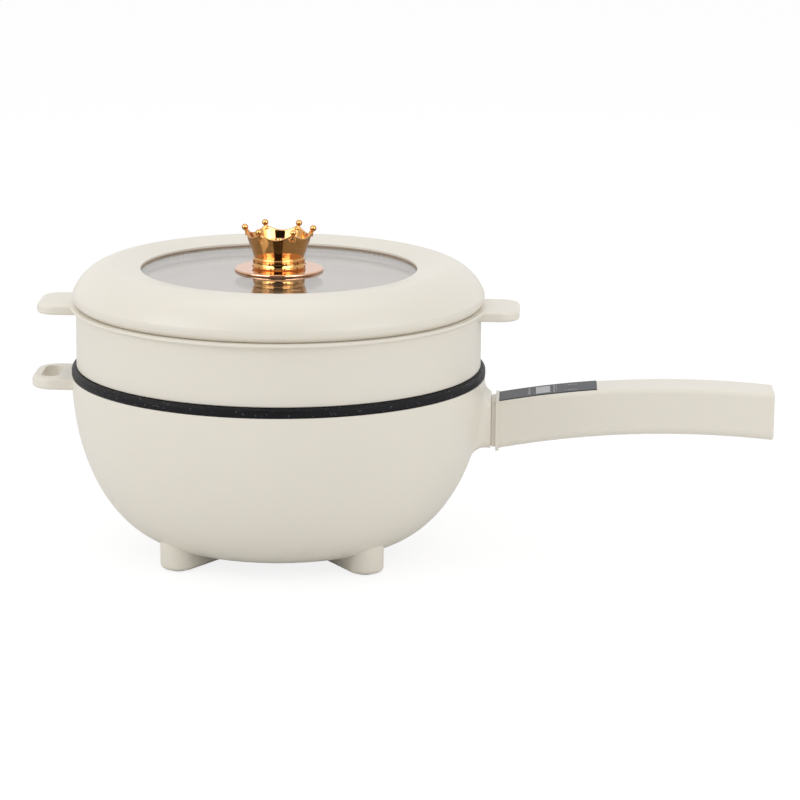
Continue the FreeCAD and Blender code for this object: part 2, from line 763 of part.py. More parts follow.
def inner_pot():
    inside_top = BAND_TOP_Z - BAND_TOP_ROUND - BAND_FOOT_ROUND
    floor_z = POT_BOTTOM_Z + POT_WALL
    inside = bowl_edge(POT_FLAT_R, POT_MOUTH_R, floor_z, inside_top)
    outside = bowl_edge(POT_FLAT_R, POT_OUTER_R, POT_BOTTOM_Z, SHELL_RIM_Z)

    def at(r, z):
        return vec(r, 0, z)

    mouth = corner((POT_MOUTH_R + MOUTH_ROUND, BAND_TOP_Z - MOUTH_ROUND), MOUTH_ROUND, 180, 90)
    top = corner((BAND_R - BAND_TOP_ROUND, BAND_TOP_Z - BAND_TOP_ROUND), BAND_TOP_ROUND, 90, 0)
    low_z = SHELL_RIM_Z + BAND_FOOT_ROUND
    low = corner((BAND_R - BAND_FOOT_ROUND, low_z), BAND_FOOT_ROUND, 0, -90)
    edges = [
        Part.makeLine(at(0, floor_z), at(POT_FLAT_R, floor_z)),
        inside,
        Part.makeLine(at(POT_MOUTH_R, inside_top), at(POT_MOUTH_R, BAND_TOP_Z - MOUTH_ROUND)),
        Part.Arc(at(POT_MOUTH_R, BAND_TOP_Z - MOUTH_ROUND), at(*mouth[0]), at(*mouth[1])).toShape(),
        Part.makeLine(at(*mouth[1]), at(BAND_R - BAND_TOP_ROUND, BAND_TOP_Z)),
        Part.Arc(at(BAND_R - BAND_TOP_ROUND, BAND_TOP_Z), at(*top[0]), at(*top[1])).toShape(),
        Part.makeLine(at(*top[1]), at(BAND_R, low_z)),
        Part.Arc(at(BAND_R, low_z), at(*low[0]), at(*low[1])).toShape(),
        Part.makeLine(at(*low[1]), at(POT_OUTER_R, SHELL_RIM_Z)),
        outside,
        Part.makeLine(at(POT_FLAT_R, POT_BOTTOM_Z), at(0, POT_BOTTOM_Z)),
        Part.makeLine(at(0, POT_BOTTOM_Z), at(0, floor_z)),
    ]
    return turned(Part.Face(Part.Wire(edges)))


def element_ring(tube_r):
    """Ring of the heating element, open on the -Y side."""
    section = Part.Face(Part.Wire([
        Part.makeCircle(tube_r, vec(ELEMENT_RING_R, 0, ELEMENT_Z), vec(0, 1, 0))
    ]))
    section.rotate(CENTRE, UP, -90 + ELEMENT_GAP_DEG / 2)
    return section.revolve(CENTRE, UP, 360 - ELEMENT_GAP_DEG)


def element_ends():
    """The two ends of the ring, where its pins turn down."""
    half = math.radians(ELEMENT_GAP_DEG / 2)
    x = ELEMENT_RING_R * math.sin(half)
    y = -ELEMENT_RING_R * math.cos(half)
    return ((-x, y), (x, y))


def heating_plate():
    plate = disc(PLATE_R, PLATE_Z, POT_BOTTOM_Z)
    posts = [disc(POT_BOSS_R - 1, SHIELD_TOP_Z, PLATE_Z + 1, x, y) for x, y in pot_screw_spots()]
    holes = [element_ring(ELEMENT_TUBE_R + SCREW_GAP)]
    holes += [
        disc(POT_SCREW_SHANK_R + SCREW_GAP, SHIELD_TOP_Z - 1, PLATE_Z + POT_SCREW_INTO_PLATE, x, y)
        for x, y in pot_screw_spots()
    ]
    holes += [disc(ELEMENT_TUBE_R + SLIP_GAP, PLATE_Z - 1, ELEMENT_Z + ELEMENT_TUBE_R, x, y)
              for x, y in element_ends()]
    for x in (-STAT_SCREW_SPAN / 2, STAT_SCREW_SPAN / 2):
        holes.append(disc(SMALL_SHANK_R + SCREW_GAP, PLATE_Z - 1, PLATE_Z + POT_WALL + 1, x, 0))
    return cut(fuse([plate] + posts), holes)


def heating_element():
    pins = []
    for x, y in element_ends():
        pins.append(Part.makeSphere(ELEMENT_TUBE_R, vec(x, y, ELEMENT_Z)))
        pins.append(disc(ELEMENT_PIN_R, ELEMENT_Z - ELEMENT_PIN_DROP, ELEMENT_Z, x, y))
    return fuse([element_ring(ELEMENT_TUBE_R)] + pins)


def heat_shield():
    dish = turned(outline(
        (SHIELD_EYE_R, SHIELD_Z),
        (SHIELD_R, SHIELD_Z),
        (SHIELD_R, SHIELD_Z + SHIELD_RIM),
        (SHIELD_R - SHIELD_THICK, SHIELD_Z + SHIELD_RIM),
        (SHIELD_R - SHIELD_THICK, SHIELD_TOP_Z),
        (SHIELD_EYE_R, SHIELD_TOP_Z),
    ))
    holes = [disc(POT_SCREW_SHANK_R + SCREW_GAP, SHIELD_Z - 1, SHIELD_TOP_Z + 1, x, y)
             for x, y in pot_screw_spots()]
    holes += [disc(ELEMENT_TUBE_R, SHIELD_Z - 1, SHIELD_TOP_Z + 1, x, y) for x, y in element_ends()]
    return cut(dish, holes)


def pot_fixing_screws():
    tip = PLATE_Z + POT_SCREW_INTO_PLATE - SCREW_GAP
    return Part.makeCompound([
        screw(x, y, POT_SEAT_Z, tip, POT_SCREW_SHANK_R, POT_SCREW_HEAD_R, POT_SCREW_HEAD)
        for x, y in pot_screw_spots()
    ])


def thermostat():
    can = disc(STAT_R, PLATE_Z - STAT_HEIGHT, PLATE_Z)
    ears = block(
        (STAT_EAR_SPAN, STAT_EAR_WIDTH, CLIP_THICK),
        vec(-STAT_EAR_SPAN / 2, -STAT_EAR_WIDTH / 2, PLATE_Z - CLIP_THICK),
    )
    blades = [
        block((CLIP_THICK, STAT_BLADE_WIDTH, STAT_BLADE_LENGTH),
              vec(x, -STAT_BLADE_WIDTH / 2, PLATE_Z - STAT_HEIGHT - STAT_BLADE_LENGTH))
        for x in (-STAT_R / 2, STAT_R / 2)
    ]
    holes = [disc(SMALL_SHANK_R + SCREW_GAP, PLATE_Z - 2, PLATE_Z + 1, x, 0)
             for x in (-STAT_SCREW_SPAN / 2, STAT_SCREW_SPAN / 2)]
    return cut(fuse([can, ears] + blades), holes)


def thermostat_screws():
    return Part.makeCompound([
        screw(x, 0, PLATE_Z - CLIP_THICK, PLATE_Z + POT_WALL, SMALL_SHANK_R, SMALL_HEAD_R, SMALL_HEAD)
        for x in (-STAT_SCREW_SPAN / 2, STAT_SCREW_SPAN / 2)
    ])


def thermal_fuse():
    start = vec(FUSE_X, -FUSE_LENGTH / 2, PLATE_Z - FUSE_R)
    return rod(FUSE_R, start, start + vec(0, FUSE_LENGTH, 0))


def fuse_clip():
    """Strap that holds the fuse up against the plate."""
    outer = FUSE_R + CLIP_THICK + SLIP_GAP
    y = -CLIP_WIDTH / 2
    bottom = PLATE_Z - FUSE_R
    loop = rod(outer, vec(FUSE_X, y, bottom), vec(FUSE_X, -y, bottom))
    wall = block((2 * outer, CLIP_WIDTH, FUSE_R), vec(FUSE_X - outer, y, bottom))
    tabs = block((2 * (outer + CLIP_TAB), CLIP_WIDTH, CLIP_THICK),
                 vec(FUSE_X - outer - CLIP_TAB, y, PLATE_Z - CLIP_THICK))
    inner = FUSE_R + SLIP_GAP
    bore = rod(inner, vec(FUSE_X, y - 1, bottom), vec(FUSE_X, 1 - y, bottom))
    way = block((2 * inner, CLIP_WIDTH + 2, FUSE_R + 1), vec(FUSE_X - inner, y - 1, bottom))
    return cut(fuse([loop, wall, tabs]), [bore, way])


# Power board


def power_board():
    plate = block(
        (BOARD_LENGTH, BOARD_WIDTH, BOARD_THICK), vec(-BOARD_LENGTH / 2, -BOARD_WIDTH / 2, BOARD_Z)
    )
    holes = [disc(SMALL_SHANK_R / 2 + SCREW_GAP, BOARD_Z - 1, BOARD_TOP_Z + 1, x, y)
             for x in (-BOARD_POST_X, BOARD_POST_X) for y in (-BOARD_POST_Y, BOARD_POST_Y)]
    return cut(plate, holes)


def board_screws():
    screws = []
    for x in (-BOARD_POST_X, BOARD_POST_X):
        for y in (-BOARD_POST_Y, BOARD_POST_Y):
            head = disc(SMALL_HEAD_R - 1, BOARD_TOP_Z, BOARD_TOP_Z + 1, x, y)
            shank = disc(SMALL_SHANK_R / 2, COVER_Z + COVER_THICK + SCREW_GAP, BOARD_TOP_Z, x, y)
            screws.append(head.fuse(shank).removeSplitter())
    return Part.makeCompound(screws)


def on_board(size, x):
    """Box standing on the power board, centred on its long axis."""
    return block(size, vec(x - size[0] / 2, -size[1] / 2, BOARD_TOP_Z))


def power_relay():
    return on_board(RELAY_SIZE, RELAY_X)


def terminal_block():
    return on_board(BLOCK_SIZE, BLOCK_X)


# Inlet


def inlet_pin_spots():
    """Live, neutral and earth: place and rise from the inlet's axis."""
    return (
        (-INLET_PIN_SPAN / 2, 0.0),
        (INLET_PIN_SPAN / 2, 0.0),
        (0.0, INLET_EARTH_RISE),
    )


def inlet_pin(x, rise, from_y, to_y, grow=0.0):
    size = (INLET_PIN_WIDTH + 2 * grow, to_y - from_y, INLET_PIN_HEIGHT + 2 * grow)
    return block(size, vec(x - size[0] / 2, from_y, INLET_Z + rise - size[2] / 2))


def power_inlet():
    flange = inlet_box(INLET_FLANGE_WIDTH, INLET_FLANGE_HEIGHT, INLET_FACE_Y - INLET_FLANGE_THICK,
                       INLET_FACE_Y)
    body = inlet_box(INLET_BODY_WIDTH, INLET_BODY_HEIGHT, INLET_FACE_Y - INLET_BODY_DEPTH, INLET_FACE_Y)
    pocket = inlet_box(SOCKET_WIDTH, SOCKET_HEIGHT, INLET_FACE_Y - SOCKET_DEPTH, INLET_FACE_Y + 1)
    top_z = INLET_Z + SOCKET_HEIGHT / 2
    upper = [e for e in pocket.Edges if e.BoundBox.YLength > 1 and e.BoundBox.ZMin > top_z - 1e-3]
    pocket = pocket.makeChamfer(SOCKET_CORNER, upper)
    holes = [pocket]
    for x, rise in inlet_pin_spots():
        holes.append(inlet_pin(x, rise, INLET_FACE_Y - INLET_BODY_DEPTH - 1, INLET_FACE_Y))
    for x in (-INLET_SCREW_SPAN / 2, INLET_SCREW_SPAN / 2):
        start = vec(x, INLET_FACE_Y - INLET_FLANGE_THICK - 1, INLET_Z)
        holes.append(rod(SMALL_SHANK_R + SCREW_GAP, start, vec(x, INLET_FACE_Y + 1, INLET_Z)))
        seat = vec(x, INLET_FACE_Y - SMALL_HEAD, INLET_Z)
        holes.append(rod(SMALL_HEAD_R + SCREW_GAP, seat, vec(x, INLET_FACE_Y + 1, INLET_Z)))
    return cut(fuse([flange, body]), holes)


def inlet_pins():
    tail = INLET_FACE_Y - INLET_BODY_DEPTH - INLET_PIN_TAIL
    tip = INLET_FACE_Y - INLET_PIN_TIP
    return Part.makeCompound([inlet_pin(x, rise, tail, tip) for x, rise in inlet_pin_spots()])


def inlet_screws():
    screws = []
    for x in (-INLET_SCREW_SPAN / 2, INLET_SCREW_SPAN / 2):
        seat = vec(x, INLET_FACE_Y - SMALL_HEAD, INLET_Z)
        head = rod(SMALL_HEAD_R, seat, vec(x, INLET_FACE_Y, INLET_Z))
        tip = vec(x, INLET_FACE_Y - INLET_BODY_DEPTH / 2 + SCREW_GAP, INLET_Z)
        screws.append(head.fuse(rod(SMALL_SHANK_R, tip, seat)).removeSplitter())
    return Part.makeCompound(screws)


# Wires


def wire_level():
    """Height of the wires that run between the shell's floor and the shield."""
    return (FLOOR_INSIDE_Z + SHIELD_Z) / 2


def mains_leads():
    """Two leads from the inlet's tails down to the terminal block."""
    tail_y = INLET_FACE_Y - INLET_BODY_DEPTH - INLET_PIN_TAIL
    level = BOARD_TOP_Z + BLOCK_SIZE[2] / 2
    leads = []
    for side in (-1, 1):
        x = side * INLET_PIN_SPAN / 2
        end_x = BLOCK_X + side * BLOCK_SIZE[0] / 4
        points = (
            (x, tail_y, INLET_Z),
            (x, tail_y - LEAD_STUB, INLET_Z),
            (x, SHIELD_R + 2 * LEAD_STUB, level),
            (end_x, BLOCK_SIZE[1], level),
            (end_x, BLOCK_SIZE[1] / 2, level),
        )
        leads.append(pipe(points, LEAD_R, LEAD_BEND_R))
    return Part.makeCompound(leads)


def earth_lead():
    """Lead from the earth pin to the shield's rim."""
    tail_y = INLET_FACE_Y - INLET_BODY_DEPTH - INLET_PIN_TAIL
    top = INLET_Z + INLET_EARTH_RISE
    level = SHIELD_Z + SHIELD_RIM / 2
    points = (
        (0, tail_y, top),
        (0, tail_y - LEAD_STUB, top),
        (0, SHIELD_R + 2 * LEAD_STUB, level),
        (0, SHIELD_R, level),
    )
    return pipe(points, LEAD_R, LEAD_BEND_R)


def element_leads():
    """Leads from the element's pins to the edge of the power board."""
    low = ELEMENT_Z - ELEMENT_PIN_DROP
    level = low + LEAD_R
    leads = []
    for x, y in element_ends():
        sleeve = disc(LEAD_SLEEVE_R, low, low + 4 * LEAD_R, x, y)
        bore = disc(ELEMENT_PIN_R + SCREW_GAP, low, low + 4 * LEAD_R, x, y)
        wire = rod(LEAD_R, vec(x, y + ELEMENT_PIN_R + SCREW_GAP, level), vec(x, -BLOCK_SIZE[1] / 2, level))
        leads.append(cut(fuse([sleeve, wire]), [bore]))
    return Part.makeCompound(leads)


def bowl_r(flat_r, top_r, bottom_z, top_z, z):
    """Radius of a bowl's curve at a height."""
    return flat_r + (top_r - flat_r) * math.sqrt(1 - ((top_z - z) / (top_z - bottom_z)) ** 2)


def gap_r(z):
    """Radius halfway between the pot's outside and the shell's inside."""
    pot = bowl_r(POT_FLAT_R, POT_OUTER_R, POT_BOTTOM_Z, SHELL_RIM_Z, z)
    shell = bowl_r(BASE_FLAT_R, SHELL_RIM_R - SHELL_WALL, FLOOR_INSIDE_Z, SHELL_TOP_Z, z)
    return (pot + shell) / 2


def handle_loom():
    """Loom from the power board up between pot and shell and through the boss to the control board."""
    level = wire_level()
    low_z = POT_BOTTOM_Z + LOOM_LOW_RISE
    high_z = ROOT_Z - LOOM_HIGH_DROP
    points = (
        (BOARD_LENGTH / 2, 0, level),
        (SHIELD_R + LOOM_BEND_R, 0, level + LOOM_R),
        (gap_r(low_z) + LOOM_LOW_OUT, 0, low_z),
        (gap_r(high_z), 0, high_z),
        (SHELL_RIM_R - LOOM_TOP_INSET, 0, ROOT_Z),
        (PANEL_MID_X + CONTROL_START, 0, ROOT_Z),
    )
    return pipe(points, LOOM_R, LOOM_BEND_R)


# Handle


def handle_hull():
    """Outside of the handle."""
    face = rounded_section(HANDLE_WIDTH, -HALF_H, HALF_H, HANDLE_TOP_ROUND, HANDLE_FOOT_ROUND)
    swept = along_arc(face, HANDLE_ROOT_X - HALF_H, HANDLE_END_X + HALF_H)
    hull = between(swept, HANDLE_ROOT_X, HANDLE_END_X)
    rim = [e for e in hull.Edges if e.BoundBox.XMin > HANDLE_END_X - 1e-3]
    return hull.makeFillet(HANDLE_END_ROUND, rim)


def handle_hollow():
    """Inside of the handle."""
    face = rounded_section(
        HANDLE_WIDTH - 2 * HANDLE_WALL, HANDLE_WALL - HALF_H, HALF_H - HANDLE_WALL,
        HANDLE_TOP_ROUND - HANDLE_WALL / 2, HANDLE_FOOT_ROUND - HANDLE_WALL,
    )
    swept = along_arc(face, HANDLE_ROOT_X - HALF_H, HANDLE_END_X + HALF_H)
    return between(swept, HANDLE_ROOT_X + HANDLE_WALL, HANDLE_END_X - HANDLE_WALL)


def cover_strip(grow):
    """Room of the cover in the handle's underside."""
    face = plain_section(GRIP_COVER_WIDTH + 2 * grow, -HANDLE_HEIGHT, HANDLE_WALL - HALF_H)
    swept = along_arc(face, HANDLE_ROOT_X - HALF_H, HANDLE_END_X + HALF_H)
    return between(swept, HANDLE_ROOT_X + HANDLE_WALL - grow, HANDLE_END_X - HANDLE_WALL + grow)


def control_posts():
    """Places of the control board's screws in the panel's frame."""
    stops = (CONTROL_START + CONTROL_POST_INSET, CONTROL_END - CONTROL_POST_INSET)
    side = CONTROL_WIDTH / 2 - CONTROL_POST_INSET
    return [(stop, y) for stop in stops for y in (-side, side)]


def handle_body():
    shell = handle_hull().cut(handle_hollow()).cut(cover_strip(SLIP_GAP))
    ceiling = PANEL_UNDER - CONTROL_END ** 2 / (2 * HANDLE_ARC_R)
    posts = []
    for y in handle_screw_ys():
        posts.append(rod(HANDLE_POST_R, vec(HANDLE_ROOT_X + 1, y, HANDLE_SCREW_Z),
                         vec(HANDLE_ROOT_X + HANDLE_POST_LENGTH, y, HANDLE_SCREW_Z)))
        reach = HANDLE_WIDTH / 2 - abs(y) - 1
        rib_y = y if y > 0 else y - reach
        posts.append(block((HANDLE_POST_LENGTH - 1, reach, HANDLE_WALL),
                           vec(HANDLE_ROOT_X + 1, rib_y, HANDLE_SCREW_Z - HANDLE_WALL / 2)))
    for stop, y in control_posts():
        posts.append(on_arc(disc(CONTROL_POST_R, CONTROL_TOP, ceiling, stop, y), PANEL_MID_X))
    for x in COVER_POST_XS:
        bottom = HANDLE_WALL - HALF_H
        posts.append(on_arc(disc(COVER_POST_R, bottom, HALF_H - HANDLE_WALL / 2), x))
    body = fuse([shell] + posts)
    recess = along_arc(
        plain_section(PANEL_WIDTH + 2 * PANEL_CORNER_GAP, PANEL_UNDER, HANDLE_HEIGHT),
        HANDLE_ROOT_X - HALF_H, PANEL_END_X + PANEL_CORNER_GAP,
    )
    window = block((WINDOW_END - WINDOW_START, WINDOW_WIDTH, 2 * HANDLE_WALL),
                   vec(WINDOW_START, -WINDOW_WIDTH / 2, PANEL_UNDER - 1.5 * HANDLE_WALL))
    holes = [recess, on_arc(window, PANEL_MID_X)]
    for y in handle_screw_ys():
        holes.append(rod(HANDLE_SCREW_R + SCREW_GAP, vec(HANDLE_ROOT_X - 1, y, HANDLE_SCREW_Z),
                         vec(HANDLE_ROOT_X + HANDLE_SCREW_REACH, y, HANDLE_SCREW_Z)))
    holes.append(rod(LOOM_HOLE_R, vec(HANDLE_ROOT_X - 1, 0, ROOT_Z),
                     vec(HANDLE_ROOT_X + 2 * HANDLE_WALL, 0, ROOT_Z)))
    for stop, y in control_posts():
        pilot = disc(SMALL_SHANK_R / 2 + SCREW_GAP, CONTROL_TOP - 1,
                     CONTROL_TOP + CONTROL_SCREW_REACH + SLIP_GAP, stop, y)
        holes.append(on_arc(pilot, PANEL_MID_X))
    for x in COVER_POST_XS:
        pilot = disc(SMALL_SHANK_R + SCREW_GAP, -HALF_H, HANDLE_WALL - HALF_H + COVER_SCREW_REACH + 1)
        holes.append(on_arc(pilot, x))
    return cut(body, holes)


def handle_bottom_cover():
    """Flat cover let into the handle's underside, screwed up against the posts."""
    plate = handle_hull().common(cover_strip(0))
    holes = []
    for x in COVER_POST_XS:
        shank = disc(SMALL_SHANK_R + SCREW_GAP, -HANDLE_HEIGHT, 0)
        head = disc(SMALL_HEAD_R + SCREW_GAP, -HANDLE_HEIGHT, SMALL_HEAD - HALF_H)
        holes.append(on_arc(shank, x))
        holes.append(on_arc(head, x))
    return cut(plate, holes)


def handle_cover_screws():
    screws = []
    for x in COVER_POST_XS:
        tip = HANDLE_WALL - HALF_H + COVER_SCREW_REACH
        one = screw(0, 0, SMALL_HEAD - HALF_H, tip, SMALL_SHANK_R, SMALL_HEAD_R, SMALL_HEAD)
        screws.append(on_arc(one, x))
    return Part.makeCompound(screws)


def handle_screws():
    screws = []
    for y in handle_screw_ys():
        seat = vec(HANDLE_SCREW_SEAT_X, y, HANDLE_SCREW_Z)
        head = rod(HANDLE_SCREW_HEAD_R, seat - vec(HANDLE_SCREW_HEAD, 0, 0), seat)
        tip = vec(HANDLE_ROOT_X + HANDLE_SCREW_REACH - SCREW_GAP, y, HANDLE_SCREW_Z)
        screws.append(head.fuse(rod(HANDLE_SCREW_R, seat, tip)).removeSplitter())
    return Part.makeCompound(screws)


def handle_collar():
    """Narrow neck and raised lip between the shell's boss and the handle."""
    lip_x = HANDLE_ROOT_X - COLLAR_LIP

    def bar(inset, from_x, to_x):
        return upright_section(
            HANDLE_WIDTH - 2 * inset, HANDLE_HEIGHT - 2 * inset, HANDLE_TOP_ROUND, from_x, to_x, ROOT_Z
        )

    groove = bar(NECK_INSET + JOINT_LINE_DEPTH, BOSS_END_X, BOSS_END_X + 2 * JOINT_LINE)
    neck = bar(NECK_INSET, BOSS_END_X + JOINT_LINE, lip_x + COLLAR_LIP / 2)
    lip = bar(-COLLAR_LIP_PROUD, lip_x, HANDLE_ROOT_X)
    holes = [rod(LOOM_HOLE_R, vec(BOSS_END_X - 1, 0, ROOT_Z), vec(HANDLE_ROOT_X + 1, 0, ROOT_Z))]
    for y in handle_screw_ys():
        holes.append(rod(HANDLE_SCREW_R + SCREW_GAP, vec(BOSS_END_X - 1, y, HANDLE_SCREW_Z),
                         vec(HANDLE_ROOT_X + 1, y, HANDLE_SCREW_Z)))
    return cut(fuse([groove, neck, lip]), holes)


def control_panel():
    face = plain_section(PANEL_WIDTH, PANEL_UNDER, HALF_H + PANEL_PROUD)
    return between(along_arc(face, HANDLE_ROOT_X - HALF_H, PANEL_END_X), HANDLE_ROOT_X, HANDLE_END_X)


def control_board():
    plate = block((CONTROL_END - CONTROL_START, CONTROL_WIDTH, BOARD_THICK),
                  vec(CONTROL_START, -CONTROL_WIDTH / 2, CONTROL_UNDER))
    socket = block((LOOM_SOCKET_LENGTH, LOOM_SOCKET_WIDTH, CONTROL_UNDER + LOOM_R),
                   vec(CONTROL_START, -LOOM_SOCKET_WIDTH / 2, -LOOM_R))
    holes = [disc(SMALL_SHANK_R / 2 + SCREW_GAP, CONTROL_UNDER - 1, CONTROL_TOP + 1, stop, y)
             for stop, y in control_posts()]
    return on_arc(cut(fuse([plate, socket]), holes), PANEL_MID_X)


def control_board_screws():
    tip = CONTROL_TOP + CONTROL_SCREW_REACH
    screws = [screw(stop, y, CONTROL_UNDER, tip, SMALL_SHANK_R / 2, SMALL_HEAD_R - 1, SMALL_HEAD)
              for stop, y in control_posts()]
    return Part.makeCompound([on_arc(one, PANEL_MID_X) for one in screws])


def display_module():
    size = (DISPLAY_LENGTH, DISPLAY_WIDTH, CONTROL_DROP - SLIP_GAP)
    low = vec(DISPLAY_MID - DISPLAY_LENGTH / 2, -DISPLAY_WIDTH / 2, CONTROL_TOP)
    return on_arc(block(size, low), PANEL_MID_X)


def touch_springs():
    springs = []
    for stop in SPRING_STOPS:
        drop = stop ** 2 / (2 * HANDLE_ARC_R)
        for y in (-SPRING_SIDE, SPRING_SIDE):
            high = PANEL_UNDER - drop - SLIP_GAP
            tube = disc(SPRING_R, CONTROL_TOP, high, stop, y)
            bore = disc(SPRING_R - SPRING_WALL, CONTROL_TOP - 1, high + 1, stop, y)
            springs.append(on_arc(tube.cut(bore), PANEL_MID_X))
    return Part.makeCompound(springs)


def buzzer():
    return on_arc(disc(BUZZER_R, CONTROL_UNDER - BUZZER_HEIGHT, CONTROL_UNDER, BUZZER_STOP, 0), PANEL_MID_X)


# Steamer basket


def steamer_basket():
    step_z = BAND_TOP_Z + SEAT_GAP
    ledge_z = LEDGE_TOP_Z - LEDGE_THICK
    floor_top = BASKET_FLOOR_Z + BASKET_WALL
    wall = turned(outline(
        (0, BASKET_FLOOR_Z),
        (BASKET_PLUG_FOOT_R - BASKET_WALL, BASKET_FLOOR_Z),
        corner((BASKET_PLUG_FOOT_R - BASKET_WALL, floor_top), BASKET_WALL, -90, 0),
        (BASKET_PLUG_TOP_R, step_z),
        (BASKET_R - LEDGE_ROUND, step_z),
        corner((BASKET_R - LEDGE_ROUND, step_z + LEDGE_ROUND), LEDGE_ROUND, -90, 0),
        (BASKET_R, ledge_z),
        (LEDGE_R - LEDGE_ROUND, ledge_z),
        corner((LEDGE_R - LEDGE_ROUND, ledge_z + LEDGE_ROUND), LEDGE_ROUND, -90, 0),
        (LEDGE_R, LEDGE_TOP_Z - LEDGE_ROUND),
        corner((LEDGE_R - LEDGE_ROUND, LEDGE_TOP_Z - LEDGE_ROUND), LEDGE_ROUND, 0, 90),
        (BASKET_MOUTH_R, LEDGE_TOP_Z),
        (BASKET_MOUTH_R, step_z + BASKET_WALL),
        (BASKET_PLUG_TOP_R - BASKET_WALL, step_z + BASKET_WALL),
        (BASKET_PLUG_FOOT_R - BASKET_WALL, floor_top),
        (0, floor_top),
    ))
    grips = []
    for degrees in (0, 180):
        grip = tongue(BASKET_MOUTH_R - BASKET_WALL, GRIP_REACH, GRIP_WIDTH, GRIP_CORNER_R,
                      LEDGE_TOP_Z - GRIP_THICK, GRIP_THICK, GRIP_EDGE_R)
        grips.append(turn_z(grip.cut(disc(BASKET_MOUTH_R, 0, LID_Z)), degrees))
    holes = [disc(STEAM_HOLE_R, BASKET_FLOOR_Z - 1, floor_top + 1)]
    for ring in range(1, STEAM_RINGS + 1):
        for x, y in around(STEAM_HOLES_PER_RING * ring, STEAM_RING_STEP * ring):
            holes.append(disc(STEAM_HOLE_R, BASKET_FLOOR_Z - 1, floor_top + 1, x, y))
    return cut(fuse([wall] + grips), holes)


# Lid


def clamp_screw_spots():
    return list(around(CLAMP_SCREW_COUNT, CLAMP_SCREW_R))


def lid_slope():
    """The ring's gentle slope from the lip up to its crest: way point and end."""
    crest_z = LID_Z + LID_CREST_RISE
    return (((LIP_R + LID_CREST_R) / 2, (LIP_TOP_Z + crest_z) / 2 + LID_SLOPE_SWELL), (LID_CREST_R, crest_z))


def lid_ring():
    """Rounded hollow ring round the glass, open underneath, with bosses for the clamp ring."""
    waist_z = LID_Z + LID_WAIST_RISE
    shoulder_z = LID_Z + LID_SHOULDER_RISE
    crest_z = LID_Z + LID_CREST_RISE
    clamp_top = CLAMP_PLATE_Z + CLAMP_THICK
    q = math.sqrt(0.5)
    bulge = LID_WAIST_R - LID_FOOT_R
    solid = turned(outline(
        (LIP_R, LIP_Z),
        (LIP_R, LIP_TOP_Z),
        lid_slope(),
        ((LID_SHOULDER_R, shoulder_z), (LID_WAIST_R, waist_z)),
        ((LID_FOOT_R + bulge * q, waist_z - LID_WAIST_RISE * q), (LID_FOOT_R, LID_Z)),
        (LID_FOOT_R - LID_WALL, LID_Z),
        (LID_FOOT_R - LID_WALL, clamp_top),
        ((LID_SHOULDER_R - LID_WALL * q, shoulder_z - LID_WALL * q), (LID_CREST_R, crest_z - LID_WALL)),
        (GLASS_R + GASKET_WALL + LID_WALL, LIP_Z),
    ))
    filled = turned(outline(
        (LIP_R, LID_Z),
        (LIP_R, LIP_TOP_Z),
        lid_slope(),
        ((LID_SHOULDER_R, shoulder_z), (LID_WAIST_R, waist_z)),
        (LID_WAIST_R, LID_Z),
    ))
    posts = [disc(CLAMP_BOSS_R, clamp_top, crest_z, x, y).common(filled) for x, y in clamp_screw_spots()]
    pilots = [disc(SMALL_SHANK_R + SCREW_GAP, clamp_top - 1, clamp_top + CLAMP_SCREW_REACH + 1, x, y)
              for x, y in clamp_screw_spots()]
    return cut(fuse([solid] + posts), pilots)


def clamp_ring():
    """Lower ring: carries the gasket and glass, and its skirt drops into the basket's mouth."""
    skirt_r = BASKET_MOUTH_R - CLAMP_SKIRT_GAP
    plate_top = CLAMP_PLATE_Z + CLAMP_THICK
    seat_r = GLASS_R + GASKET_WALL + CLAMP_THICK
    body = turned(outline(
        (LIP_R - 1, CLAMP_TOP_Z),
        (LIP_R - 1, CLAMP_TOP_Z - CLAMP_THICK),
        (seat_r - CLAMP_THICK, CLAMP_TOP_Z - CLAMP_THICK),
        (CLAMP_WEB_R, CLAMP_PLATE_Z),
        (skirt_r - CLAMP_THICK - CLAMP_SKIRT_GAP, CLAMP_PLATE_Z),
        (skirt_r - CLAMP_THICK - CLAMP_SKIRT_GAP, LEDGE_TOP_Z - CLAMP_SKIRT_DROP),
        (skirt_r - CLAMP_SKIRT_GAP, LEDGE_TOP_Z - CLAMP_SKIRT_DROP),
        (skirt_r - CLAMP_SKIRT_GAP, plate_top),
        (CLAMP_WEB_R + CLAMP_THICK, plate_top),
        (seat_r, CLAMP_TOP_Z),
    ))
    holes = [disc(SMALL_SHANK_R + SCREW_GAP, CLAMP_PLATE_Z - 1, plate_top + 1, x, y)
             for x, y in clamp_screw_spots()]
    return cut(body, holes)


def clamp_screws():
    tip = CLAMP_PLATE_Z + CLAMP_THICK + CLAMP_SCREW_REACH
    return Part.makeCompound([
        screw(x, y, CLAMP_PLATE_Z, tip, SMALL_SHANK_R, SMALL_HEAD_R, SMALL_HEAD)
        for x, y in clamp_screw_spots()
    ])


def lid_glass():
    pane = disc(GLASS_R, GLASS_Z, GLASS_TOP_Z)
    return pane.cut(disc(KNOB_SCREW_R + KNOB_HOLE_GAP, GLASS_Z - 1, GLASS_TOP_Z + 1))


def glass_gasket():
    outer = GLASS_R + GASKET_WALL
    inner = GLASS_R - GASKET_LIP
    return turned(outline(
        (inner, LIP_Z),
        (inner, GLASS_TOP_Z),
        (GLASS_R, GLASS_TOP_Z),
        (GLASS_R, GLASS_Z),
        (inner, GLASS_Z),
        (inner, CLAMP_TOP_Z),
        (outer, CLAMP_TOP_Z),
        (outer, LIP_Z),
    ))


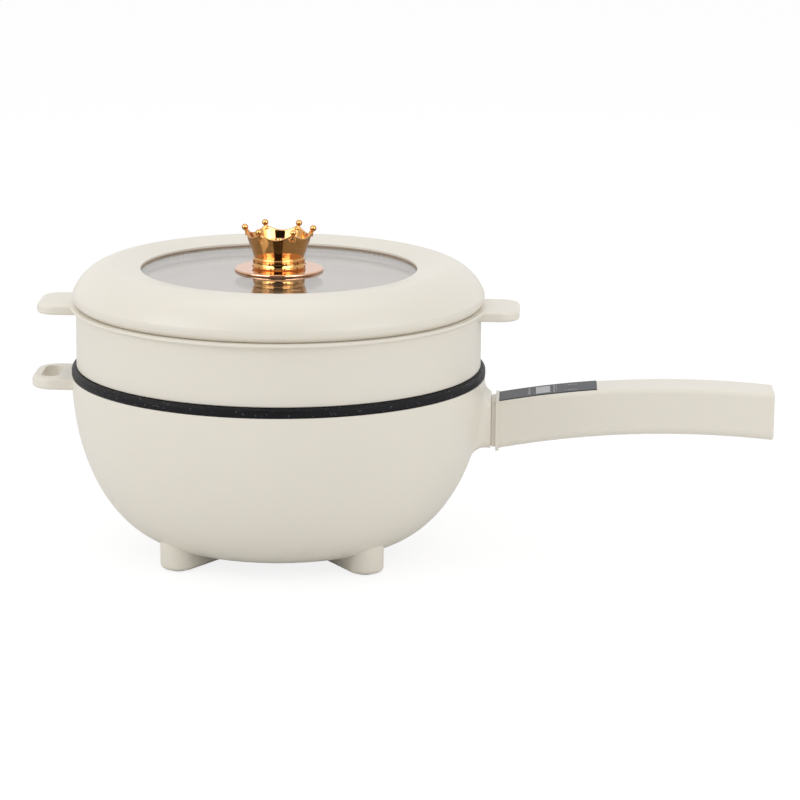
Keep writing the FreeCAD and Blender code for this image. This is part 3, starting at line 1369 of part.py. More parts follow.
def knob_disc():
    half = DISC_THICK / 2
    plate = turned(outline(
        (0, GLASS_TOP_Z),
        (DISC_R - half, GLASS_TOP_Z),
        corner((DISC_R - half, GLASS_TOP_Z + half), half, -90, 90),
        (0, DISC_TOP_Z),
    ))
    return plate.cut(disc(KNOB_SCREW_R + SCREW_GAP, GLASS_TOP_Z - 1, DISC_TOP_Z + 1))


def crown_knob():
    """Flared cup with scalloped rim, a ball on each prong and a screw boss inside."""
    z = DISC_TOP_Z

    def at(r, h):
        return (r, z + h)

    cup = turned(outline(
        at(0, 0),
        at(CROWN_BASE_R, 0),
        at(CROWN_WAIST_R, CROWN_WAIST_H),
        (at(CROWN_FLARE_R, CROWN_FLARE_H), at(CROWN_TIP_R, CROWN_TIP_H)),
        at(CROWN_TIP_R - CROWN_WALL, CROWN_TIP_H),
        (at(CROWN_FLARE_R - CROWN_WALL, CROWN_FLARE_H), at(CROWN_WAIST_R - CROWN_WALL, CROWN_WAIST_H)),
        at(CROWN_WAIST_R - CROWN_WALL, CROWN_FLOOR),
        at(0, CROWN_FLOOR),
    ))
    ridges = [Part.makeTorus(CROWN_WAIST_R, CROWN_RIDGE_R, vec(0, 0, z + h)) for h in CROWN_RIDGE_HS]
    step = 360 / PRONG_COUNT
    scallop_z = z + CROWN_TIP_H - SCALLOP_DEPTH + SCALLOP_R
    scoops = []
    prongs = []
    for index in range(PRONG_COUNT):
        angle = math.radians(PRONG_TURN_DEG + step * (index + 0.5))
        way = vec(math.cos(angle), math.sin(angle), 0)
        scoops.append(Part.makeCylinder(SCALLOP_R, 2 * CROWN_TIP_R, vec(0, 0, scallop_z), way))
        angle = math.radians(PRONG_TURN_DEG + step * index)
        root_r = CROWN_TIP_R - CROWN_WALL
        foot_at = vec(root_r * math.cos(angle), root_r * math.sin(angle),
                      z + CROWN_TIP_H - PRONG_ROOT_DROP)
        ball_at = vec(BALL_MID_R * math.cos(angle), BALL_MID_R * math.sin(angle), z + BALL_H)
        prongs.append(rod(PRONG_TIP_R, foot_at, ball_at))
        prongs.append(Part.makeSphere(BALL_R, ball_at))
    boss = disc(CROWN_BOSS_R, z, z + CROWN_BOSS_H)
    bore = disc(KNOB_SCREW_R + SCREW_GAP / 3, z - 1, z + KNOB_SCREW_INTO + 1)
    cup = cut(fuse([cup] + ridges), scoops)
    return fuse([cup, boss] + prongs).cut(bore)


def knob_washer():
    ring = disc(WASHER_R, GLASS_Z - WASHER_THICK, GLASS_Z)
    return ring.cut(disc(KNOB_SCREW_R + SCREW_GAP, GLASS_Z - WASHER_THICK - 1, GLASS_Z + 1))


def knob_screw():
    seat = GLASS_Z - WASHER_THICK
    return screw(0, 0, seat, DISC_TOP_Z + KNOB_SCREW_INTO, KNOB_SCREW_R, KNOB_SCREW_HEAD_R, KNOB_SCREW_HEAD)


PIECES = (
    outer_shell, foot_pads, base_cover, base_cover_screws,
    inner_pot, heating_plate, heating_element, heat_shield, pot_fixing_screws,
    thermostat, thermostat_screws, thermal_fuse, fuse_clip,
    power_board, board_screws, power_relay, terminal_block,
    power_inlet, inlet_pins, inlet_screws,
    mains_leads, earth_lead, element_leads, handle_loom,
    handle_collar, handle_body, handle_bottom_cover, handle_screws, handle_cover_screws,
    control_panel, control_board, control_board_screws, display_module, touch_springs, buzzer,
    steamer_basket,
    lid_ring, clamp_ring, clamp_screws, lid_glass, glass_gasket,
    knob_disc, crown_knob, knob_washer, knob_screw,
)

os.makedirs("parts", exist_ok=True)
for piece in PIECES:
    shape = piece()
    shape.translate(vec(SHIFT_X, 0, 0))
    shape.exportStep("parts/" + piece.__name__ + ".step")
    box = shape.BoundBox
    print(piece.__name__, len(shape.Solids), shape.isValid(), round(shape.Volume),
          [round(v, 1) for v in (box.XMin, box.XMax, box.YMin, box.YMax, box.ZMin, box.ZMax)])
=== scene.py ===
import bmesh
import bpy
import json
import math
from mathutils import Matrix, Vector


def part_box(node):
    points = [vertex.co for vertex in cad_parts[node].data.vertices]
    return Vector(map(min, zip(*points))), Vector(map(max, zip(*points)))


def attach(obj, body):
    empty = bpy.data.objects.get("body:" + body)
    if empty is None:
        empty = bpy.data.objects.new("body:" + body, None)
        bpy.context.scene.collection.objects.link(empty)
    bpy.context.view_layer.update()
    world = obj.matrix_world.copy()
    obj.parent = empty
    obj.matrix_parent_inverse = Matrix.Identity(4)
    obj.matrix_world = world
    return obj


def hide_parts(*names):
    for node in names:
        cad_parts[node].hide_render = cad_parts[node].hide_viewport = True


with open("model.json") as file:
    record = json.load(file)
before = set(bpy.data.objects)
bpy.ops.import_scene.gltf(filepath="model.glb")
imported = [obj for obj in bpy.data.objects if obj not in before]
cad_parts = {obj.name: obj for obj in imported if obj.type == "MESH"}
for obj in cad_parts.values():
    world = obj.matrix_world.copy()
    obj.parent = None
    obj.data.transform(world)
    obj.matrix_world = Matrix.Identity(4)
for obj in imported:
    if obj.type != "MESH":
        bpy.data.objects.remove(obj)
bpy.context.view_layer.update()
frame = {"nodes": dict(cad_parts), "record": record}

# Places taken from the frame, in metres
glass_low, glass_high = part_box("lid_glass")
AXIS_X = (glass_low.x + glass_high.x) / 2
DISC_TOP_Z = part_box("knob_disc")[1].z

# Camera of the photograph: its place from the pot's axis, and its lens
CAMERA_TURN = math.radians(2.2)
CAMERA_SIDE = 0.08224
CAMERA_BACK = 2.2
CAMERA_HEIGHT = 0.6057
CAMERA_DOWN = math.radians(12.862)
CAMERA_ROLL = math.radians(0.495)
CAMERA_LENS_MM = 149.35
CAMERA_SENSOR_MM = 36.0
CAMERA_CLIP_END = 50.0

# Arc that the panel's prints follow, within 0.05 mm of the panel's face
ARC_R = 0.650
ARC_APEX_REACH = 0.272
ARC_APEX_Z = 0.1027
HANDLE_HALF_HEIGHT = 0.0165
PANEL_PROUD = 0.0002
ARC_APEX_X = AXIS_X + ARC_APEX_REACH
ARC_TOP_Z = ARC_APEX_Z + HANDLE_HALF_HEIGHT + PANEL_PROUD

# Crown's wall: outer radius by height above the disc, as (height, radius)
CROWN_STEPS = 360
CROWN_OUTER = (
    (0.0, 0.0173), (0.0003, 0.0176), (0.0009, 0.0176), (0.0012, 0.0179), (0.0016, 0.0180),
    (0.0020, 0.0179), (0.0023, 0.01745), (0.0058, 0.0173), (0.0061, 0.0175), (0.0065, 0.0176),
    (0.0069, 0.0174), (0.0072, 0.0169), (0.0080, 0.01705), (0.0095, 0.01755), (0.0118, 0.01840),
    (0.0142, 0.01925), (0.0166, 0.0201), (0.0185, 0.0207), (0.0205, 0.0213), (0.0228, 0.0219),
    (0.0246, 0.0223),
)
CROWN_TURN = math.radians(-1.5)
CROWN_WALL = 0.0018
SCALLOP_FROM_H = 0.0206

# Crown's wall above that height, as shares of the way to the rim and of the bend over it
OUTER_SHARES = (0.25, 0.5, 0.75, 0.93)
RIM_BENDS = (0.15, 0.5, 0.85)
RIM_ROUND = CROWN_WALL / 3
INNER_SHARES = (0.9, 0.6, 0.3, 0.0)

# Crown's inside, as (radius, height) or as heights
INNER_FLARE_HS = (0.016, 0.013)
INNER_WAIST = ((0.0160, 0.010), (0.0153, 0.007), (0.0152, 0.0042))
CROWN_FLOOR_H = 0.003
CROWN_FLOOR_RS = (0.0150, 0.0095)
SCREW_BOSS_R = 0.0065
SCREW_BOSS_H = 0.0192
SCREW_BOSS_EDGE = 0.0006
SCREW_HOLE_R = 0.0026
SCREW_HOLE_MOUTH_R = 0.0030
SCREW_HOLE_EDGE = 0.0005
SCREW_HOLE_DEPTH = 0.006

# Crown's scalloped rim
RIM_LOW_H = 0.0215
RIM_POINT_RISE = 0.0034
RIM_POINT_WIDTH = 0.9
RIM_POINT_POWER = 1.7
RIM_SWELL = 0.0004

# Crown's prongs and their balls; stations are (share of the length, radius)
CROWN_PRONGS = 6
PRONG_SIDES = 28
PRONG_FOOT_H = 0.0222
PRONG_STATIONS = ((0.0, 0.0019), (0.25, 0.0017), (0.5, 0.0013), (0.62, 0.0011))
BALL_R = 0.0022
BALL_MID_R = 0.02305
BALL_H = 0.0271
BALL_STEPS = 14
BALL_FROM = 0.66

# Stones round the crown's waist
JEWEL_PAIRS = 12
JEWEL_TURN = math.radians(-103.5)
JEWEL_CORNERS = 12
JEWEL_PROUD = 0.0005
JEWEL_SINK = 0.0001
JEWEL_CREST = 0.45
DROP_HEIGHT = 0.0044
DROP_SWING = 0.058
DROP_WIDE = 0.0007
DROP_TALL = 0.0009
DROP_POINT = 1.7
LOZENGE_HEIGHT = 0.0016
LOZENGE_WIDE = 0.0006
LOZENGE_TALL = 0.0009
LOZENGE_POINT = 1.0

# Prints on the panel, x measured from the pot's axis
PRINT_LIFT = 0.00001
PRINT_THICK = 0.00006
PRINT_STEP = 0.001
WINDOW_XS = (0.1744, 0.1840)
WINDOW_HALF_WIDTH = 0.0098
LEFT_DASH_XS = (0.1693, 0.1707)
LEFT_DASH_YS = (-0.0085, -0.0035, 0.0015, 0.0065)
LEFT_DASH_WIDTH = 0.0030
RIGHT_DASH_XS = (0.1862, 0.1872)
RIGHT_DASH_YS = (-0.0105, -0.0065, -0.0025, 0.0015, 0.0055, 0.0085)
RIGHT_DASH_WIDTH = 0.0022
SMALL_DASH_XS = (0.1880, 0.1886)
SMALL_DASH_INSET = 0.0004
SMALL_DASH_WIDTH = 0.0014
ROW_YS = (-0.0085, 0.0070)
ROW_DOT_XS = (0.1940, 0.1950)
ROW_DOT_HALF_WIDTH = 0.0006
ROW_DASHES = 4
ROW_DASH_X = 0.1962
ROW_DASH_PITCH = 0.0016
ROW_DASH_LENGTH = 0.0011
ROW_DASH_HALF_WIDTH = 0.0007

# Colours, as linear red, green and blue
IVORY = (0.80, 0.755, 0.665)
COAT_DARK = (0.008, 0.008, 0.0095)
COAT_FLECK = (0.20, 0.20, 0.21)
GOLD = (0.60, 0.31, 0.105)
# Stones of the crown's plating, made darker: painted dark reflection
STONES_PAINTED_DARK = (0.16, 0.07, 0.025)
ROSE = (0.70, 0.40, 0.255)
GLASS_TINT = (0.92, 0.90, 0.885)
MIRROR_TINT = (0.97, 0.96, 0.95)
DISPLAY_GREY = (0.20, 0.205, 0.225)
MARK_GREY = (0.36, 0.36, 0.37)
BOARD_GREENS = ((0.012, 0.09, 0.035), (0.014, 0.11, 0.04))
BOARD_TRACK = (0.03, 0.2, 0.08)
FLOOR_GREY = (0.86, 0.86, 0.86)
FLAG_BLACK = (0.01, 0.01, 0.01)

# Every surface's slow drift in colour and in roughness, in waves per metre
DRIFT_WAVES = 14.0
PATCH_WAVES = 22.0

# Non-stick coat: waves or cells per metre, and the ranges that keep the flecks small and few
PEBBLE_WAVES = 900.0
PEBBLE_DEPTH = 0.00012
FLECK_CELLS = 520.0
FLECK_EDGE = (0.10, 0.22)
FLECK_GROUPS = 300.0
FLECK_PICK = (0.52, 0.6)

# Lid's glass: the mirror grows with the reflection at the glass's angle, up to a limit
GLASS_IOR = 1.5
GLASS_MIRROR_MOST = 0.46
GLASS_FULL_AT = 0.36

# Finishes of the plainer materials, by slot
FINISHES = {
    "cast_aluminium": dict(colour=(0.62, 0.62, 0.63), rough=0.45, vary=0.1, tint=0.06, grain=350.0,
                           depth=0.00006, metallic=1.0),
    "steel": dict(colour=(0.56, 0.55, 0.53), rough=0.32, vary=0.08, tint=0.05, grain=400.0,
                  depth=0.00001, metallic=1.0, stretch=(1, 1, 12)),
    "pad_rubber": dict(colour=(0.03, 0.03, 0.03), rough=0.75, vary=0.08, tint=0.1, grain=700.0,
                       depth=0.00006),
    "silicone": dict(colour=(0.42, 0.33, 0.25), rough=0.55, vary=0.06, tint=0.05, grain=600.0,
                     depth=0.00003),
    "fuse_ceramic": dict(colour=(0.72, 0.71, 0.67), rough=0.5, vary=0.08, tint=0.04, grain=500.0,
                         depth=0.00002),
    "dark_plastic": dict(colour=(0.022, 0.022, 0.023), rough=0.45, vary=0.08, tint=0.08, grain=800.0,
                         depth=0.00004),
    "pin_brass": dict(colour=(0.70, 0.62, 0.48), rough=0.28, vary=0.06, tint=0.05, grain=400.0,
                      depth=0.00001, metallic=1.0),
    "wire_insulation": dict(colour=(0.55, 0.52, 0.46), rough=0.5, vary=0.06, tint=0.04, grain=500.0,
                            depth=0.00003),
    "panel_grey": dict(colour=(0.034, 0.036, 0.043), rough=0.42, vary=0.04, tint=0.05, grain=900.0,
                       depth=0.000008, specular=0.3),
}

# Surroundings
WORLD_LIGHT = 0.655
FLOOR_SIZE = (12.0, 12.0)
FLOOR_DROP = 0.0002
FLOOR_SHADE = 0.26
FLOOR_GLOW = 1.13
LAMP_TARGET = (0.0, 0.0, 0.12)
LAMPS = (
    ("top_softbox", (-0.1, 0.1, 1.7), (1.6, 1.6), 5.2),
    ("left_softbox", (-1.6, -0.9, 0.9), (1.0, 1.4), 8.8),
    ("right_softbox", (1.5, -1.1, 0.8), (1.0, 1.4), 7.9),
)
CROWN_LAMP_SIDE = 0.86
CROWN_LAMP_Y = -1.05
CROWN_LAMP_Z = 0.95
CROWN_LAMP_SIZE = (0.9, 1.0)
CROWN_LAMP_WATTS = 14.0
CROWN_LAMP_TARGET = (AXIS_X, 0.0, 0.2)
FLAG_PLACE = (AXIS_X, -1.0, 0.75)
FLAG_TARGET = (AXIS_X, 0.0, 0.75)
FLAG_SIZE = (0.77, 1.5)


# Nodes of a material


def new_material(name):
    """A material with its node tree and its main shader."""
    mat = bpy.data.materials.new(name)
    mat.use_nodes = True
    tree = mat.node_tree
    return mat, tree, tree.nodes["Principled BSDF"]


def noise(tree, scale, detail=3.0, rough=0.5, stretch=None):
    """Noise in object space; its scale is in waves per metre."""
    coords = tree.nodes.new("ShaderNodeTexCoord")
    out = coords.outputs["Object"]
    if stretch:
        mapping = tree.nodes.new("ShaderNodeMapping")
        mapping.inputs["Scale"].default_value = stretch
        tree.links.new(out, mapping.inputs["Vector"])
        out = mapping.outputs["Vector"]
    node = tree.nodes.new("ShaderNodeTexNoise")
    node.inputs["Scale"].default_value = scale
    node.inputs["Detail"].default_value = detail
    node.inputs["Roughness"].default_value = rough
    tree.links.new(out, node.inputs["Vector"])
    return node.outputs["Fac"]


def spread(tree, value, low, high, from_low=0.3, from_high=0.7):
    """Maps a value from one range to another."""
    node = tree.nodes.new("ShaderNodeMapRange")
    node.inputs["From Min"].default_value = from_low
    node.inputs["From Max"].default_value = from_high
    node.inputs["To Min"].default_value = low
    node.inputs["To Max"].default_value = high
    tree.links.new(value, node.inputs["Value"])
    return node.outputs["Result"]


def mixed_colour(tree, factor, first, second):
    """Blend of two colours by a factor."""
    node = tree.nodes.new("ShaderNodeMix")
    node.data_type = "RGBA"
    node.inputs["A"].default_value = (*first, 1)
    node.inputs["B"].default_value = (*second, 1)
    tree.links.new(factor, node.inputs["Factor"])
    return node.outputs["Result"]


def combined(tree, operation, first, second):
    """Two values put through one sum, product or comparison."""
    node = tree.nodes.new("ShaderNodeMath")
    node.operation = operation
    tree.links.new(first, node.inputs[0])
    tree.links.new(second, node.inputs[1])
    return node.outputs["Value"]


def bump(tree, height, strength, distance):
    """Surface relief from a height."""
    node = tree.nodes.new("ShaderNodeBump")
    node.inputs["Strength"].default_value = strength
    node.inputs["Distance"].default_value = distance
    tree.links.new(height, node.inputs["Height"])
    return node.outputs["Normal"]


def blended(tree, factor, first, second):
    """Leads a mix of two shaders to the material's output."""
    node = tree.nodes.new("ShaderNodeMixShader")
    tree.links.new(factor, node.inputs["Fac"])
    tree.links.new(first, node.inputs[1])
    tree.links.new(second, node.inputs[2])
    tree.links.new(node.outputs["Shader"], tree.nodes["Material Output"].inputs["Surface"])


def shifted(colour, factor):
    """A colour made lighter or darker by a factor."""
    return tuple(min(1.0, c * factor) for c in colour)


# Materials


def surface(name, colour, rough, vary=0.04, tint=0.03, grain=900.0, depth=0.00002, metallic=0.0,
            coat=0.0, specular=0.5, stretch=None):
    """Base material: colour drifting slightly over the surface, uneven roughness and fine grain."""
    mat, tree, shader = new_material(name)
    drift = noise(tree, DRIFT_WAVES, 2.0)
    fine = noise(tree, grain, 2.0, stretch=stretch)
    tree.links.new(mixed_colour(tree, drift, shifted(colour, 1 - tint), shifted(colour, 1 + tint)),
                   shader.inputs["Base Color"])
    patches = noise(tree, PATCH_WAVES, 2.0)
    tree.links.new(spread(tree, patches, rough - vary, rough + vary, 0.0, 1.0), shader.inputs["Roughness"])
    tree.links.new(bump(tree, fine, 0.5, depth), shader.inputs["Normal"])
    shader.inputs["Metallic"].default_value = metallic
    shader.inputs["Specular IOR Level"].default_value = specular
    shader.inputs["Coat Weight"].default_value = coat
    shader.inputs["Coat Roughness"].default_value = 0.08
    return mat


def ivory_plastic():
    """Glossy moulded plastic with the faint ripple of a moulded skin."""
    mat = surface("ivory_plastic", IVORY, rough=0.36, vary=0.05, tint=0.012, grain=420.0,
                  depth=0.000006, coat=0.1)
    shader = mat.node_tree.nodes["Principled BSDF"]
    shader.inputs["Subsurface Weight"].default_value = 0.08
    shader.inputs["Subsurface Radius"].default_value = (0.004, 0.003, 0.002)
    return mat


def nonstick():
    """Dark coat with a pebbled skin and small pale flecks."""
    mat, tree, shader = new_material("nonstick_coating")
    pebbles = noise(tree, PEBBLE_WAVES, 3.0, 0.6)
    coords = tree.nodes.new("ShaderNodeTexCoord")
    cells = tree.nodes.new("ShaderNodeTexVoronoi")
    cells.inputs["Scale"].default_value = FLECK_CELLS
    tree.links.new(coords.outputs["Object"], cells.inputs["Vector"])
    fleck = spread(tree, cells.outputs["Distance"], 1.0, 0.0, *FLECK_EDGE)
    sparse = spread(tree, noise(tree, FLECK_GROUPS, 1.0), 0.0, 1.0, *FLECK_PICK)
    scattered = combined(tree, "MULTIPLY", fleck, sparse)
    tree.links.new(mixed_colour(tree, scattered, COAT_DARK, COAT_FLECK), shader.inputs["Base Color"])
    tree.links.new(spread(tree, pebbles, 0.34, 0.6), shader.inputs["Roughness"])
    tree.links.new(bump(tree, pebbles, 0.8, PEBBLE_DEPTH), shader.inputs["Normal"])
    shader.inputs["Specular IOR Level"].default_value = 0.16
    return mat


def polished_gold(name, colour, rough):
    """Polished plating with a faint wave and slight wear in its shine."""
    return surface(name, colour, rough, vary=0.03, tint=0.05, grain=260.0, depth=0.000006, metallic=1.0)


def rose_gold():
    """Plating of the knob's disc."""
    return polished_gold("rose_gold", ROSE, 0.07)


def lid_glass():
    """Clear layer over what lies below, mixed by angle with a mirror for the glass's two faces."""
    mat, tree, shader = new_material("lid_glass")
    tree.nodes.remove(shader)
    clear = tree.nodes.new("ShaderNodeBsdfTransparent")
    clear.inputs["Color"].default_value = (*GLASS_TINT, 1)
    mirror = tree.nodes.new("ShaderNodeBsdfGlossy")
    mirror.inputs["Color"].default_value = (*MIRROR_TINT, 1)
    tree.links.new(spread(tree, noise(tree, 40.0), 0.01, 0.03), mirror.inputs["Roughness"])
    tree.links.new(bump(tree, noise(tree, 18.0, 1.0), 0.08, 0.00002), mirror.inputs["Normal"])
    edge = tree.nodes.new("ShaderNodeFresnel")
    edge.inputs["IOR"].default_value = GLASS_IOR
    share = spread(tree, edge.outputs["Fac"], 0.0, GLASS_MIRROR_MOST, 0.0, GLASS_FULL_AT)
    blended(tree, share, clear.outputs["BSDF"], mirror.outputs["BSDF"])
    return mat


def circuit_board():
    """Green board with faint copper tracks under the mask."""
    mat, tree, shader = new_material("circuit_board")
    coords = tree.nodes.new("ShaderNodeTexCoord")
    tracks = tree.nodes.new("ShaderNodeTexBrick")
    tracks.inputs["Scale"].default_value = 180.0
    tracks.inputs["Color1"].default_value = (*BOARD_GREENS[0], 1)
    tracks.inputs["Color2"].default_value = (*BOARD_GREENS[1], 1)
    tracks.inputs["Mortar"].default_value = (*BOARD_TRACK, 1)
    tree.links.new(coords.outputs["Object"], tracks.inputs["Vector"])
    tree.links.new(tracks.outputs["Color"], shader.inputs["Base Color"])
    tree.links.new(spread(tree, noise(tree, 300.0), 0.3, 0.5), shader.inputs["Roughness"])
    return mat


def dress_nodes():
    """Gives every node of the model the material of its slot."""
    made = {slot: surface(slot, **finish) for slot, finish in FINISHES.items()}
    made["ivory_plastic"] = ivory_plastic()
    made["nonstick_coating"] = nonstick()
    made["circuit_board"] = circuit_board()
    made["lid_glass"] = lid_glass()
    made["rose_gold"] = rose_gold()
    for entry in frame["record"]["subparts"]:
        node = frame["nodes"][entry["node"]]
        node.data.materials.clear()
        node.data.materials.append(made[entry["material_slot"]])


# Meshes and objects


def mesh_of(bm, name, closed=True):
    """Mesh of the given faces; those of a closed body are turned outwards."""
    if closed:
        bmesh.ops.recalc_face_normals(bm, faces=bm.faces)
    mesh = bpy.data.meshes.new(name)
    bm.to_mesh(mesh)
    bm.free()
    return mesh


def card_mesh(name, size):
    """Flat rectangle of a width and a height."""
    bm = bmesh.new()
    bmesh.ops.create_grid(bm, x_segments=1, y_segments=1, size=0.5)
    bmesh.ops.scale(bm, vec=(*size, 1), verts=bm.verts)
    return mesh_of(bm, name, closed=False)


def add_object(name, data):
    """Puts an object of a mesh, a lamp or a camera into the scene."""
    obj = bpy.data.objects.new(name, data)
    bpy.context.scene.collection.objects.link(obj)
    return obj


def aim(obj, place, target):
    """Puts an object at a place, facing a target."""
    obj.location = place
    obj.rotation_euler = (Vector(target) - Vector(place)).to_track_quat("-Z", "Y").to_euler()


def link(name, mesh, body, mat, smooth=True):
    """Makes an object of a mesh and lets it ride on a body."""
    obj = add_object(name, mesh)
    mesh.materials.append(mat)
    for face in mesh.polygons:
        face.use_smooth = smooth
    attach(obj, body)
    return obj


# Crown knob


def crown_radius(height):
    """Outer radius of the crown's wall at a height above the disc."""
    for (h0, r0), (h1, r1) in zip(CROWN_OUTER, CROWN_OUTER[1:]):
        if height <= h1:
            return r0 + (r1 - r0) * (height - h0) / (h1 - h0)
    return CROWN_OUTER[-1][1]


def crown_rim(angle):
    """Height of the scalloped rim: deep between two prongs, a narrow point at each."""
    turn = (angle - CROWN_TURN) * CROWN_PRONGS / (2 * math.pi)
    away = abs(turn - round(turn)) * 2
    point = (1 - min(1.0, away / RIM_POINT_WIDTH)) ** RIM_POINT_POWER
    return RIM_LOW_H + RIM_POINT_RISE * point + RIM_SWELL * (1 - away)


def crown_profile(angle):
    """Section of the wall at an angle, as (radius, height), from its foot up, over and inside down."""
    levels = [h for h, _ in CROWN_OUTER if h < SCALLOP_FROM_H]
    rim = crown_rim(angle)
    reach = rim - levels[-1]
    profile = [(crown_radius(h), h) for h in levels]
    for part in OUTER_SHARES:
        h = levels[-1] + reach * part
        profile.append((crown_radius(h), h))
    middle = crown_radius(rim) - CROWN_WALL / 2
    for bend in RIM_BENDS:
        swing = math.pi * bend
        profile.append((middle + CROWN_WALL / 2 * math.cos(swing), rim + RIM_ROUND * math.sin(swing)))
    inner_hs = [levels[-1] + reach * part for part in INNER_SHARES]
    for h in (*inner_hs, *INNER_FLARE_HS):
        profile.append((crown_radius(h) - CROWN_WALL, h))
    profile += INNER_WAIST
    profile += [(r, CROWN_FLOOR_H) for r in (*CROWN_FLOOR_RS, SCREW_BOSS_R + SCREW_BOSS_EDGE)]
    profile += [
        (SCREW_BOSS_R, CROWN_FLOOR_H + SCREW_BOSS_EDGE),
        (SCREW_BOSS_R, SCREW_BOSS_H - SCREW_BOSS_EDGE),
        (SCREW_BOSS_R - SCREW_BOSS_EDGE, SCREW_BOSS_H),
        (SCREW_HOLE_MOUTH_R, SCREW_BOSS_H),
        (SCREW_HOLE_R, SCREW_BOSS_H - SCREW_HOLE_EDGE),
        (SCREW_HOLE_R, SCREW_BOSS_H - SCREW_HOLE_DEPTH),
    ]
    return profile


def crown_mesh():
    """Wall with a rounded rim, its floor and the screw boss inside."""
    bm = bmesh.new()
    rings = []
    for step in range(CROWN_STEPS):
        angle = 2 * math.pi * step / CROWN_STEPS
        ring = []
        for r, h in crown_profile(angle):
            ring.append(bm.verts.new((AXIS_X + r * math.cos(angle), r * math.sin(angle), DISC_TOP_Z + h)))
        rings.append(ring)
    for here, there in zip(rings, rings[1:] + rings[:1]):
        for low in range(len(here) - 1):
            bm.faces.new((here[low], there[low], there[low + 1], here[low + 1]))
    bm.faces.new([ring[-1] for ring in rings])
    bm.faces.new([ring[0] for ring in reversed(rings)])
    return mesh_of(bm, "crown_knob_wall")


def ball_stations(length):
    """Stations of the ball at a prong's end, as (share of the length, radius)."""
    stations = []
    for step in range(1, BALL_STEPS):
        swing = math.pi * step / BALL_STEPS
        share = (length - BALL_R * math.cos(swing)) / length
        if share > BALL_FROM:
            stations.append((share, BALL_R * math.sin(swing)))
    return stations


def add_prong(bm, angle):
    """One tapered stem with its ball."""
    out = Vector((math.cos(angle), math.sin(angle), 0))
    foot_r = crown_radius(PRONG_FOOT_H) - CROWN_WALL / 2
    start = Vector((AXIS_X, 0, DISC_TOP_Z + PRONG_FOOT_H)) + out * foot_r
    end = Vector((AXIS_X, 0, DISC_TOP_Z + BALL_H)) + out * BALL_MID_R
    way = (end - start).normalized()
    side = way.cross(Vector((0, 0, 1))).normalized()
    up = side.cross(way).normalized()
    length = (end - start).length
    rings = []
    for part, radius in (*PRONG_STATIONS, *ball_stations(length)):
        mid = start + way * (length * part)
        ring = []
        for spoke in range(PRONG_SIDES):
            swing = 2 * math.pi * spoke / PRONG_SIDES
            across = side * (radius * math.cos(swing)) + up * (radius * math.sin(swing))
            ring.append(bm.verts.new(mid + across))
        rings.append(ring)
    tip = bm.verts.new(start + way * (length + BALL_R))
    for spoke in range(PRONG_SIDES):
        after = (spoke + 1) % PRONG_SIDES
        for here, there in zip(rings, rings[1:]):
            bm.faces.new((here[spoke], here[after], there[after], there[spoke]))
        bm.faces.new((rings[-1][spoke], rings[-1][after], tip))
    bm.faces.new(list(reversed(rings[0])))


def prong_mesh():
    """Six tapered stems, each with its ball."""
    bm = bmesh.new()
    for index in range(CROWN_PRONGS):
        add_prong(bm, CROWN_TURN + 2 * math.pi * index / CROWN_PRONGS)
    return mesh_of(bm, "crown_prongs")


def add_jewel(bm, angle, height, wide, tall, point):
    """One small raised stone on the crown's waist; point draws its upper end out."""
    out = Vector((math.cos(angle), math.sin(angle), 0))
    across = Vector((-math.sin(angle), math.cos(angle), 0))
    middle = Vector((AXIS_X, 0, DISC_TOP_Z + height)) + out * (crown_radius(height) - JEWEL_SINK)
    edge, crest = [], []
    for corner in range(JEWEL_CORNERS):
        swing = 2 * math.pi * corner / JEWEL_CORNERS
        rise = math.sin(swing) * (point if math.sin(swing) > 0 else 1.0)
        offset = across * (wide * math.cos(swing)) + Vector((0, 0, tall * rise))
        edge.append(bm.verts.new(middle + offset))
        crest.append(bm.verts.new(middle + out * JEWEL_PROUD + offset * JEWEL_CREST))
    for corner in range(JEWEL_CORNERS):
        after = (corner + 1) % JEWEL_CORNERS
        bm.faces.new((edge[corner], edge[after], crest[after], crest[corner]))
    bm.faces.new(crest)
    bm.faces.new(list(reversed(edge)))


def jewel_mesh():
    """Pairs of drops round the waist, with a lozenge under each pair."""
    bm = bmesh.new()
    for index in range(JEWEL_PAIRS):
        angle = JEWEL_TURN + 2 * math.pi * index / JEWEL_PAIRS
        for side in (-1, 1):
            add_jewel(bm, angle + side * DROP_SWING, DROP_HEIGHT, DROP_WIDE, DROP_TALL, DROP_POINT)
        add_jewel(bm, angle, LOZENGE_HEIGHT, LOZENGE_WIDE, LOZENGE_TALL, LOZENGE_POINT)
    return mesh_of(bm, "crown_jewels")


def make_crown():
    """Crown in place of the model's plainer one. Returns the pieces that its softboxes light."""
    gold = polished_gold("crown_gold", GOLD, 0.06)
    wall = link("crown_wall", crown_mesh(), "lid", gold)
    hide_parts("crown_knob")
    prongs = link("crown_prongs", prong_mesh(), "lid", gold)
    # The stones take a darker copy of the plating: painted dark reflection
    darkened_plating = polished_gold("stone_plating_painted_dark", STONES_PAINTED_DARK, 0.12)
    jewels = link("crown_jewels", jewel_mesh(), "lid", darkened_plating, smooth=False)
    return [wall, prongs, jewels, frame["nodes"]["knob_disc"]]


# Control panel's prints


def panel_point(x, y, lift):
    """A point at a lift above the prints' arc. x is measured from the pot's axis."""
    along = AXIS_X + x - ARC_APEX_X
    top_r = ARC_R + ARC_TOP_Z - ARC_APEX_Z
    z = ARC_TOP_Z - top_r + math.sqrt((top_r + lift) ** 2 - along ** 2)
    return Vector((AXIS_X + x, y, z))


